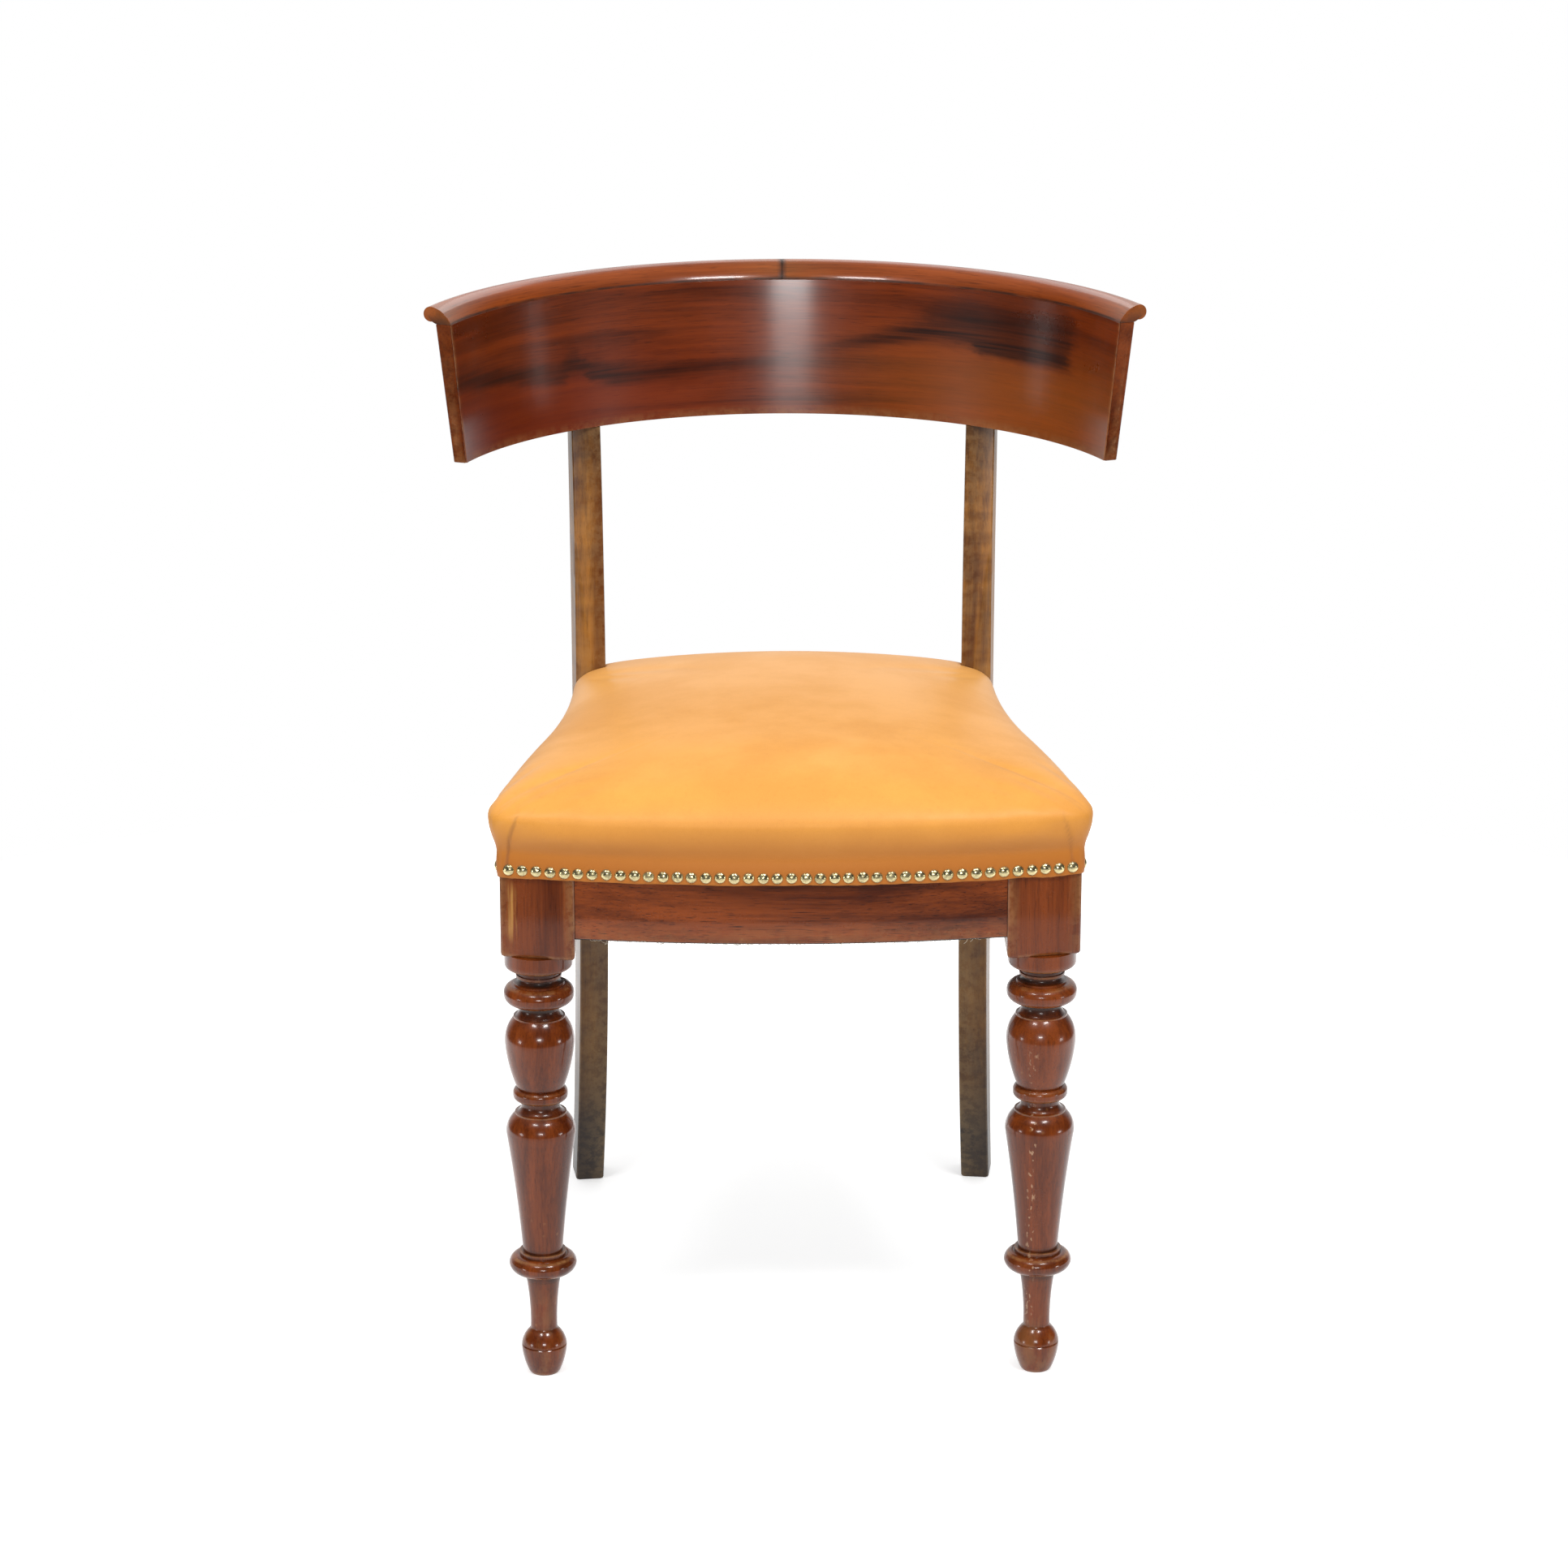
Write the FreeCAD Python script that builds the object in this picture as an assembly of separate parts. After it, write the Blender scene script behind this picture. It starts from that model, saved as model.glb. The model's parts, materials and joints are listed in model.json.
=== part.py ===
"""Klismos side chair: turned front legs, sabre rear posts, a deep curved crest rail with a rolled
top, a bowed seat frame and an over-stuffed leather seat closed with a row of domed nails.

Bench frame, in millimetres: X to the sitter's left as seen from the front (picture right), Y from
the front legs towards the back, Z up from the floor, with Y = 0 on the axis of the front legs.
Everything is moved along Y at the end, so that the origin lies on the floor under the middle of
the chair.
"""
import FreeCAD
import Part
import math
import os

V = FreeCAD.Vector
UP = V(0, 0, 1)
TINY = 0.001
CUT_PAST = 1.0                  # of a cutting shape beyond the faces that it cuts

# Seat frame
FRONT_HALF_WIDTH = 218.5        # over the front leg blocks
REAR_HALF_WIDTH = 168.0         # over the rear posts, at their front faces
FRAME_FRONT_Y = -41.0           # crown of the bowed front
FRONT_BOW_RADIUS = 950.0
FRAME_DEPTH = 379.0             # from the crown of the bow to the rear posts' front faces
SIDE_TURN_SHARE = 0.5           # of the side, measured from the post, that is hollow before it swells
SIDE_SWELL_RATIO = 3.0          # radius of the swelling part over that of the hollow part, roughly
RAIL_TOP = 426.0
RAIL_HEIGHT = 65.0
SIDE_RAIL_THICKNESS = 22.0
REAR_RAIL_THICKNESS = 22.0
REAR_RAIL_SETBACK = 7.0         # of its inner face behind the posts' front faces
FRONT_RAIL_RECESS = 1.5         # behind the faces of the leg blocks
FRONT_RAIL_INNER_Y = -8.0
TENON_THICKNESS = 9.0
TENON_MARGIN = 9.0              # rail above and below each tenon
FRONT_TENON = 24.0
SIDE_TENON = 17.0
REAR_TENON = 14.0
REAR_TENON_SETBACK = 4.0        # behind the rear rail's middle, clear of the side tenons
TENON_CLEARANCE = 0.1
TENON_END_GAP = 1.0
TENON_ROOT = 6.0                # of each side tenon inside its own rail

# Front legs, turned from the square. Heights run up from the floor, and the taper takes the rest
BLOCK_WIDTH = 56.5
BLOCK_DEPTH = 55.0
BLOCK_DROP = 17.0               # of the block below the rails
SOLE_RADIUS = 11.0
FOOT_RADIUS = 17.3
FOOT_HEIGHT = 35.0
FOOT_SHOULDER_RADIUS = 11.6
ANKLE_RADIUS = 10.3
ANKLE_TOP_RADIUS = 14.0
ANKLE_HEIGHT = 46.7
LOWER_RING_RADIUS = 25.8
LOWER_RING_HEIGHT = 14.5
LOWER_FILLET_RADIUS = 17.8
FILLET_HEIGHT = 3.2
TAPER_FOOT_RADIUS = 15.1
TAPER_HEAD_RADIUS = 26.4
SHOULDER_HEIGHT = 15.4
UPPER_FILLET_RADIUS = 19.6
COVE_HEIGHT = 10.8
COVE_RADIUS = 14.6
SMALL_RING_RADIUS = 20.8
SMALL_RING_HEIGHT = 10.0
VASE_FOOT_RADIUS = 17.8
VASE_RADIUS = 26.5
VASE_HEIGHT = 56.7
WAIST_RADIUS = 15.2
WAIST_HEIGHT = 11.1
UPPER_RING_RADIUS = 26.8
UPPER_RING_HEIGHT = 15.5
NECK_RADIUS = 16.4
NECK_BEAD_RADIUS = 17.4
NECK_BEAD_HEIGHT = 1.8
NECK_HEIGHT = 11.6
COLLAR_RADIUS = 26.0
COLLAR_HEIGHT = 13.6
COLLAR_ROUND = 4.2
LIP_HEIGHT = 1.2                # small upright lips over and under the necks
LIP_STEP = 1.6
NECK_STEP = 2.4                 # from the bottom of a neck to the ring on it

# Rear posts, sawn in one piece from sabre leg to crest. Travel is measured backwards in the post's
# own plane, from its front face at the seat
POST_WIDTH = 23.5
POST_TOE_OUT = 7.5              # degrees, plane of the post turned outwards towards the back
POST_SEAT_DEPTH = 42.0
SWEEP_AT_HALF = 0.245           # share of a sweep's travel that is reached at half its height
SABRE_START_BELOW_RAIL = 61.0
SABRE_FRONT_TRAVEL = 62.0
SABRE_FOOT_DEPTH = 30.0
STILE_START_ABOVE_RAIL = 10.0
STILE_LAP = 1.0                 # of its front face into the crest rail, at the outer lower corner
STILE_DEPTH = 33.0              # at the crest rail's lower edge
STILE_TOP_DEPTH = 25.0
STILE_TOP_DROP = 5.0            # below the top of the crest board
STILE_TOP_TRAVEL = 16.0         # further back again at the top
FACET_RISE = 150.0              # hand-cut facet on the outer front edge, above the seat
FACET_WIDTH = 17.5
FACET_DEPTH = 10.0
FACET_BASE_ABOVE_RAIL = 12.0

# Crest rail, turned about an upright axis and flared like a cone
CREST_BOTTOM = 665.0
CREST_BOARD_HEIGHT = 109.0
CREST_INNER_RADIUS = 265.7      # at its lower edge
CREST_FLARE = 11.2              # growth of the inner radius over the board's height
CREST_THICKNESS_LOW = 11.0
CREST_THICKNESS_HIGH = 13.0
CREST_HALF_ANGLE = 69.5
CREST_BEHIND_POSTS = 68.0       # inner face at the middle of the lower edge, from the posts' fronts
VENEER = 1.0
ROLL_BEAD_RADIUS = 6.0
ROLL_HEIGHT = 13.5
ROLL_OVERHANG = 10.0            # of the bead beyond the board's outer face
ROLL_SWELL_IN = 2.2             # of the slope towards the sitter, at its middle
ROLL_SWELL_UP = 1.6

# Screws that hold the crest rail from behind, under wooden plugs
CREST_SCREW_RADIUS = 2.0
CREST_SCREW_HEAD_RADIUS = 4.0
CREST_SCREW_HEAD_HEIGHT = 2.5
CREST_SCREW_COVER = 3.0         # wood left before the veneer
CREST_SCREW_INSET = 24.0        # from the lower and upper edges of the board
PLUG_RADIUS = 5.0
PLUG_LENGTH = 7.0
CREST_SCREW_STEP = 0.25         # the screws are cut to length in these steps

# Corner blocks, glued and screwed inside the seat frame
CORNER_REACH = 42.0
CORNER_HEIGHT = 44.0
CORNER_DROP = 10.0              # below the rail tops
BLOCK_SCREW_RADIUS = 2.0
BLOCK_SCREW_HEAD_RADIUS = 4.0
BLOCK_SCREW_HEAD_HEIGHT = 2.5
BLOCK_SCREW_SEAT = 9.0          # wood under the head
BLOCK_SCREW_BITE = 13.0         # into the rail
BLOCK_SCREW_INSET = 10.0        # from the corner block's outer end
BLOCK_SCREW_POCKET = 1.0        # around each screw head
REAR_CORNER_GAP = 2.0           # past the posts' inner faces

# Upholstery
STRAP_WIDTH = 50.0
STRAP_THICKNESS = 1.5
STRAPS_LENGTHWISE = 4
STRAPS_CROSSWISE = 4
STRAP_EDGE = 5.0                # from the strap's end to the outside of the rail
TACK_RADIUS = 0.9
TACK_HEAD_RADIUS = 3.0
TACK_HEAD = 0.8
TACK_LENGTH = 11.0
TACKS_PER_END = 3
HESSIAN = 0.8
HESSIAN_EDGE = 1.5
SKIN = 1.4                      # leather
SEAT_CROWN_RISE = 63.0          # above the rail tops
SEAT_CROWN_INSET = 112.0        # from the bulge to the flat middle of the crown
SEAT_FULLNESS = 2.0             # higher numbers make a squarer shoulder
SEAT_CROWN_EASE = 1.5           # higher numbers gather the slope near the middle
SEAT_STEPS = 6
SEAT_BULGE = 9.0
SEAT_BULGE_AT_POSTS = 1.0
SEAT_BULGE_RISE = 29.0          # of its widest line above the rail tops
SEAT_CORNER_RADIUS = 22.0
SEAT_CORNER_ROOM = 1.3          # corner radii that the straight sides keep from the back
SEAT_CORNER_GROWTH = 38.0       # of the corner's radius from the bulge to the crown
FRAME_CORNER_RADIUS = 3.0
NAIL_LINE_DROP = 12.5           # below the rail tops
NAIL_PITCH = 10.75
NAIL_HEAD_RADIUS = 4.75
NAIL_HEAD_HEIGHT = 3.0
NAIL_SHANK_RADIUS = 0.8
NAIL_SHANK_LENGTH = 8.0
NAIL_LIFT = 0.03                # of the flat heads above the leather, which is hollow at the sides
LEATHER_BELOW_NAILS = 6.0
POST_GAP = 0.5                  # between the upholstery and the posts
BOTTOM_CLOTH = 0.8
BOTTOM_CLOTH_EDGE = 3.0
BOTTOM_CLOTH_GAP = 1.0          # round the front legs
BOTTOM_TACK_INSET = 6.0
BOTTOM_TACK_PITCH = 45.0

# Worked out from the values above
RAIL_BOTTOM = RAIL_TOP - RAIL_HEIGHT
BLOCK_BOTTOM = RAIL_BOTTOM - BLOCK_DROP
BOW_CENTRE_Y = FRAME_FRONT_Y + FRONT_BOW_RADIUS
POST_FRONT_Y = FRAME_FRONT_Y + FRAME_DEPTH
POST_HALF = POST_WIDTH / 2
POST_CENTRE_X = REAR_HALF_WIDTH - POST_HALF / math.cos(math.radians(POST_TOE_OUT))
LEG_CENTRE_X = FRONT_HALF_WIDTH - BLOCK_WIDTH / 2
BLOCK_INNER_X = FRONT_HALF_WIDTH - BLOCK_WIDTH
BLOCK_REAR_Y = BLOCK_DEPTH / 2
REAR_RAIL_INNER_Y = POST_FRONT_Y + REAR_RAIL_SETBACK
REAR_RAIL_OUTER_Y = REAR_RAIL_INNER_Y + REAR_RAIL_THICKNESS
SABRE_START_Z = RAIL_BOTTOM - SABRE_START_BELOW_RAIL
STILE_START_Z = RAIL_TOP + STILE_START_ABOVE_RAIL
SEAT_CROWN = RAIL_TOP + SEAT_CROWN_RISE
SEAT_BULGE_Z = RAIL_TOP + SEAT_BULGE_RISE
NAIL_LINE_Z = RAIL_TOP - NAIL_LINE_DROP
CREST_CENTRE_Y = POST_FRONT_Y + CREST_BEHIND_POSTS - CREST_INNER_RADIUS
CREST_TOP = CREST_BOTTOM + CREST_BOARD_HEIGHT
STUFFING_BOTTOM = RAIL_TOP + 2 * STRAP_THICKNESS + HESSIAN
ROLL_OUTER_RADIUS = CREST_INNER_RADIUS + CREST_FLARE + CREST_THICKNESS_HIGH + ROLL_OVERHANG
BACK_Y = CREST_CENTRE_Y + ROLL_OUTER_RADIUS
FRONT_Y = FRAME_FRONT_Y - SEAT_BULGE - SKIN
ORIGIN_Y = (FRONT_Y + BACK_Y) / 2


def bow_y(x, grow=0.0):
    """Y of the bowed front at x, with the outline grown outwards."""
    return BOW_CENTRE_Y - math.sqrt((FRONT_BOW_RADIUS + grow) ** 2 - x * x)


FRONT_CORNER_Y = bow_y(FRONT_HALF_WIDTH)
HOLLOW_RUN = (POST_FRONT_Y - FRONT_CORNER_Y) * SIDE_TURN_SHARE
SWELL_RUN = POST_FRONT_Y - FRONT_CORNER_Y - HOLLOW_RUN
HOLLOW_RADIUS = ((HOLLOW_RUN ** 2 / 2 + HOLLOW_RUN * SWELL_RUN - SWELL_RUN ** 2 / 2 / SIDE_SWELL_RATIO)
                 / (FRONT_HALF_WIDTH - REAR_HALF_WIDTH))
HOLLOW_CENTRE = V(REAR_HALF_WIDTH + HOLLOW_RADIUS, POST_FRONT_Y, 0)
TURN_ANGLE = math.asin(HOLLOW_RUN / HOLLOW_RADIUS)
INWARDS_AT_TURN = V(-math.cos(TURN_ANGLE), -math.sin(TURN_ANGLE), 0)
TURN_POINT = HOLLOW_CENTRE + INWARDS_AT_TURN * HOLLOW_RADIUS
TURN_TO_CORNER = V(FRONT_HALF_WIDTH, FRONT_CORNER_Y, 0) - TURN_POINT
SWELL_RADIUS = TURN_TO_CORNER.dot(TURN_TO_CORNER) / (2 * INWARDS_AT_TURN.dot(TURN_TO_CORNER))
SWELL_CENTRE = TURN_POINT + INWARDS_AT_TURN * SWELL_RADIUS


def side_x(y, grow=0.0):
    """X of the frame's serpentine right side at y: straight beside the post, hollow, then swelling."""
    if y >= POST_FRONT_Y:
        return REAR_HALF_WIDTH + grow
    if y >= TURN_POINT.y - INWARDS_AT_TURN.y * grow:
        return HOLLOW_CENTRE.x - math.sqrt((HOLLOW_RADIUS - grow) ** 2 - (y - HOLLOW_CENTRE.y) ** 2)
    return SWELL_CENTRE.x + math.sqrt((SWELL_RADIUS + grow) ** 2 - (y - SWELL_CENTRE.y) ** 2)


def side_out(y):
    """Direction square out of the right side at y."""
    point = V(side_x(y), min(y, POST_FRONT_Y), 0)
    return ((HOLLOW_CENTRE - point) if y >= TURN_POINT.y else (point - SWELL_CENTRE)).normalize()


def stile_travel():
    """Travel at which a post's outer front edge meets the outside of the crest rail's lower edge."""
    toe = math.radians(POST_TOE_OUT)
    travel = 0
    for _ in range(20):
        x = POST_CENTRE_X + POST_HALF * math.cos(toe) + travel * math.sin(toe)
        rail_y = CREST_CENTRE_Y + math.sqrt((CREST_INNER_RADIUS + CREST_THICKNESS_LOW) ** 2 - x * x)
        travel = (rail_y - STILE_LAP - POST_FRONT_Y + POST_HALF * math.sin(toe)) / math.cos(toe)
    return travel


STILE_FRONT_TRAVEL = stile_travel()


def box(x0, x1, y0, y1, z0, z1):
    return Part.makeBox(x1 - x0, y1 - y0, z1 - z0, V(x0, y0, z0))


def prism(points, z0, z1):
    """Upright solid on a polygon of (x, y) points."""
    wire = Part.makePolygon([V(x, y, z0) for x, y in points] + [V(*points[0], z0)])
    return Part.Face(wire).extrude(V(0, 0, z1 - z0))


def rod(radius, length, start, direction):
    return Part.makeCylinder(radius, length, start, direction)


def mirrored(shape):
    """The same piece on the other side of the chair."""
    return shape.mirror(V(0, 0, 0), V(1, 0, 0))


def both_sides(shape):
    return [shape, mirrored(shape)]


def outline_wire(z, grow, corner, rear_grow=None):
    """Closed outline of the seat at height z: bowed front, serpentine sides, straight back, round corners.

    The sides may grow by another amount beside the posts than at the front.
    """
    rear_side = grow if rear_grow is None else rear_grow
    rear_y = REAR_RAIL_OUTER_Y + grow
    front_x = FRONT_HALF_WIDTH + grow
    for _ in range(20):
        front_x = side_x(bow_y(front_x, grow), grow)
    front_y = bow_y(front_x, grow)

    def side(y, sign=1):
        share = max(0, (POST_FRONT_Y - y) / (POST_FRONT_Y - front_y))
        return V(sign * side_x(y, rear_side + (grow - rear_side) * share), y, z)

    straight_y = min(POST_FRONT_Y, rear_y - SEAT_CORNER_ROOM * corner)
    quarter = (straight_y - front_y) / 4
    turn_y = min(max(TURN_POINT.y - INWARDS_AT_TURN.y * grow, front_y + quarter), straight_y - quarter)
    right = [front_y, (front_y + turn_y) / 2, turn_y, (turn_y + straight_y) / 2, straight_y]
    rear_x = side(rear_y).x
    corners = [V(front_x, front_y, z), V(-front_x, front_y, z), V(rear_x, rear_y, z), V(-rear_x, rear_y, z)]
    edges = [arc(corners[1], V(0, bow_y(0, grow), z), corners[0]),
             arc(*[side(y) for y in right[:3]]), arc(*[side(y) for y in right[2:]]),
             *line([side(straight_y), corners[2], corners[3], side(straight_y, -1)]),
             arc(*[side(y, -1) for y in right[:1:-1]]), arc(*[side(y, -1) for y in right[2::-1]])]
    solid = Part.Face(Part.Wire(edges)).extrude(UP)
    upright = [e for e in solid.Edges if is_upright(e)
               and any(math.hypot(e.Vertexes[0].X - c.x, e.Vertexes[0].Y - c.y) < TINY for c in corners)]
    rounded = solid.makeFillet(corner, upright)
    low = [f for f in rounded.Faces if abs(f.BoundBox.ZMax - z) < TINY]
    return low[0].OuterWire


def is_upright(edge):
    first, last = edge.Vertexes[0].Point, edge.Vertexes[-1].Point
    return math.hypot(first.x - last.x, first.y - last.y) < TINY and abs(first.z - last.z) > TINY


def outline_prism(z0, z1, grow, corner):
    return Part.Face(outline_wire(z0, grow, corner)).extrude(V(0, 0, z1 - z0))


def line(points):
    return [Part.makeLine(a, b) for a, b in zip(points, points[1:])]


def arc(a, b, c):
    return Part.Arc(a, b, c).toShape()


class Turning:
    """Half section of a turned piece, cut upwards from the floor, then spun about its own axis."""

    def __init__(self, radius):
        self.tip = V(radius, 0, 0)
        self.edges = [Part.makeLine(V(0, 0, 0), self.tip)]

    def straight(self, radius, rise):
        end = V(radius, 0, self.tip.z + rise)
        self.edges.append(Part.makeLine(self.tip, end))
        self.tip = end

    def bend(self, mid_radius, mid_rise, radius, rise):
        middle = V(mid_radius, 0, self.tip.z + mid_rise)
        end = V(radius, 0, self.tip.z + rise)
        self.edges.append(arc(self.tip, middle, end))
        self.tip = end

    def ring(self, radius, rise, foot, head):
        """A full round ring that grows out of one neck and closes on another."""
        self.straight(foot, 0)
        self.bend((foot + 3 * radius) / 4, rise * 0.13, radius, rise * 0.48)
        self.bend((head + 3 * radius) / 4, rise * 0.37, head, rise * 0.52)

    def solid(self):
        top = V(0, 0, self.tip.z)
        wire = Part.Wire(self.edges + [Part.makeLine(self.tip, top), Part.makeLine(top, V(0, 0, 0))])
        return Part.Face(wire).revolve(V(0, 0, 0), UP, 360)


def turned_leg():
    """Foot, ankle, ring, taper, small ring, vase, ring and collar, up to the square block."""
    t = Turning(SOLE_RADIUS)
    t.straight(SOLE_RADIUS + LIP_HEIGHT, LIP_STEP)
    t.bend((SOLE_RADIUS + FOOT_RADIUS) / 2 + LIP_HEIGHT, FOOT_HEIGHT * 0.24,
           FOOT_RADIUS, FOOT_HEIGHT * 0.53)
    t.bend(FOOT_RADIUS - 0.9, FOOT_HEIGHT * 0.21, FOOT_SHOULDER_RADIUS, FOOT_HEIGHT * 0.43)
    t.straight(ANKLE_RADIUS, LIP_STEP)
    t.bend(ANKLE_RADIUS + 0.6, ANKLE_HEIGHT * 0.5, ANKLE_TOP_RADIUS, ANKLE_HEIGHT)
    t.ring(LOWER_RING_RADIUS, LOWER_RING_HEIGHT, ANKLE_TOP_RADIUS + 1, LOWER_FILLET_RADIUS)
    t.straight(LOWER_FILLET_RADIUS, FILLET_HEIGHT)
    t.straight(TAPER_FOOT_RADIUS, 0)
    upper_part = (SHOULDER_HEIGHT + COVE_HEIGHT + SMALL_RING_HEIGHT + VASE_HEIGHT + WAIST_HEIGHT
                  + UPPER_RING_HEIGHT + LIP_HEIGHT + NECK_HEIGHT + COLLAR_HEIGHT)
    taper = BLOCK_BOTTOM - t.tip.z - upper_part
    t.bend((TAPER_FOOT_RADIUS + TAPER_HEAD_RADIUS) / 2 - 0.9, taper * 0.5, TAPER_HEAD_RADIUS, taper)
    t.bend((TAPER_HEAD_RADIUS + UPPER_FILLET_RADIUS) / 2 + 1.6, SHOULDER_HEIGHT * 0.6,
           UPPER_FILLET_RADIUS, SHOULDER_HEIGHT)
    t.straight(UPPER_FILLET_RADIUS, LIP_HEIGHT)
    t.straight(UPPER_FILLET_RADIUS - LIP_STEP, 0)
    t.bend(COVE_RADIUS, (COVE_HEIGHT - LIP_HEIGHT) * 0.7, COVE_RADIUS + LIP_STEP / 2,
           COVE_HEIGHT - LIP_HEIGHT)
    t.ring(SMALL_RING_RADIUS, SMALL_RING_HEIGHT, COVE_RADIUS + NECK_STEP, VASE_FOOT_RADIUS)
    t.bend((VASE_FOOT_RADIUS + VASE_RADIUS) / 2 + 1.4, VASE_HEIGHT * 0.32, VASE_RADIUS, VASE_HEIGHT * 0.65)
    t.bend(VASE_RADIUS - 1.7, VASE_HEIGHT * 0.2, UPPER_FILLET_RADIUS, VASE_HEIGHT * 0.35)
    t.straight(UPPER_FILLET_RADIUS, LIP_HEIGHT)
    t.straight(UPPER_FILLET_RADIUS - LIP_STEP, 0)
    t.bend(WAIST_RADIUS, (WAIST_HEIGHT - LIP_HEIGHT) * 0.7, WAIST_RADIUS + LIP_STEP / 2,
           WAIST_HEIGHT - LIP_HEIGHT)
    t.ring(UPPER_RING_RADIUS, UPPER_RING_HEIGHT, WAIST_RADIUS + NECK_STEP, UPPER_FILLET_RADIUS)
    t.straight(UPPER_FILLET_RADIUS - 0.6, LIP_HEIGHT)
    hollow = (NECK_HEIGHT - NECK_BEAD_HEIGHT) / 2
    t.bend(WAIST_RADIUS, hollow * 0.5, WAIST_RADIUS + 0.4, hollow)
    t.straight(NECK_BEAD_RADIUS, 0)
    t.straight(NECK_BEAD_RADIUS, NECK_BEAD_HEIGHT)
    t.straight(NECK_RADIUS, 0)
    t.straight(NECK_RADIUS, hollow)
    t.straight(COLLAR_RADIUS - 4.5, 0)
    t.bend(COLLAR_RADIUS - 1.2, COLLAR_ROUND * 0.3, COLLAR_RADIUS, COLLAR_ROUND)
    t.straight(COLLAR_RADIUS, COLLAR_HEIGHT - COLLAR_ROUND)
    return t.solid()


def front_leg():
    """Right front leg: a turning under a block that follows the bow and the seat's side."""
    turning = turned_leg()
    turning.translate(V(LEG_CENTRE_X, 0, 0))
    plan = outline_prism(BLOCK_BOTTOM, RAIL_TOP, 0, FRAME_CORNER_RADIUS)
    block = plan.common(box(BLOCK_INNER_X, FRONT_HALF_WIDTH + CUT_PAST, FRAME_FRONT_Y, BLOCK_REAR_Y,
                            BLOCK_BOTTOM, RAIL_TOP))
    return block.fuse(turning).removeSplitter()


def front_rail_body(grow, end_gap):
    """Bowed front rail. With a clearance it is the shape of its own mortises."""
    half = BLOCK_INNER_X
    low, high = RAIL_BOTTOM, RAIL_TOP
    bow = -FRONT_RAIL_RECESS
    edges = [arc(V(-half, bow_y(half, bow), low), V(0, bow_y(0, bow), low), V(half, bow_y(half, bow), low))]
    edges += line([V(half, bow_y(half, bow), low), V(half, FRONT_RAIL_INNER_Y, low),
                   V(-half, FRONT_RAIL_INNER_Y, low), V(-half, bow_y(half, bow), low)])
    body = Part.Face(Part.Wire(edges)).extrude(V(0, 0, high - low))
    reach = half + FRONT_TENON + end_gap
    middle = (bow_y(half, bow) + FRONT_RAIL_INNER_Y) / 2
    tenon = box(-reach, reach, middle - TENON_THICKNESS / 2 - grow, middle + TENON_THICKNESS / 2 + grow,
                low + TENON_MARGIN - grow, high - TENON_MARGIN + grow)
    return body, tenon


def side_rail_body(grow, end_gap):
    """Right side rail between the leg block and the post, with a tenon along each end's own line."""
    ring = outline_prism(RAIL_BOTTOM, RAIL_TOP, 0, FRAME_CORNER_RADIUS).cut(
        outline_prism(RAIL_BOTTOM, RAIL_TOP, -SIDE_RAIL_THICKNESS, FRAME_CORNER_RADIUS))
    body = ring.common(box(0, 2 * FRONT_HALF_WIDTH, BLOCK_REAR_Y, POST_FRONT_Y, RAIL_BOTTOM, RAIL_TOP))
    near = -(SIDE_RAIL_THICKNESS - TENON_THICKNESS) / 2 + grow
    far = near - TENON_THICKNESS - 2 * grow

    def end_tenon(joint, reach):
        out = side_out(joint)
        root = V(side_x(joint), joint, 0)
        along = V(-out.y, out.x, 0) * (reach / out.x)
        back = along * (-TENON_ROOT / abs(reach))
        corners = [root + back + out * near, root + along + out * near, root + along + out * far,
                   root + back + out * far]
        return prism([(c.x, c.y) for c in corners], RAIL_BOTTOM + TENON_MARGIN - grow,
                     RAIL_TOP - TENON_MARGIN + grow)

    tenons = [end_tenon(BLOCK_REAR_Y, -FRONT_TENON - end_gap),
              end_tenon(POST_FRONT_Y, SIDE_TENON + end_gap)]
    return body, tenons


def rear_rail_body(grow, end_gap):
    """Rear rail between the posts. Its ends are trimmed to the posts' turned faces afterwards."""
    reach = POST_CENTRE_X
    body = box(-reach, reach, REAR_RAIL_INNER_Y, REAR_RAIL_OUTER_Y, RAIL_BOTTOM, RAIL_TOP)
    middle = (REAR_RAIL_INNER_Y + REAR_RAIL_OUTER_Y) / 2 + REAR_TENON_SETBACK
    tenon_reach = POST_CENTRE_X - POST_HALF + REAR_TENON + end_gap
    tenon = box(-tenon_reach, tenon_reach, middle - TENON_THICKNESS / 2 - grow,
                middle + TENON_THICKNESS / 2 + grow,
                RAIL_BOTTOM + TENON_MARGIN - grow, RAIL_TOP - TENON_MARGIN + grow)
    return body, tenon


def to_post_frame(shape):
    """Carries a shape from the post's own plane (X across, Y travel) to the right rear corner."""
    shape.rotate(V(0, 0, 0), UP, -POST_TOE_OUT)
    shape.translate(V(POST_CENTRE_X, POST_FRONT_Y, 0))
    return shape


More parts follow.
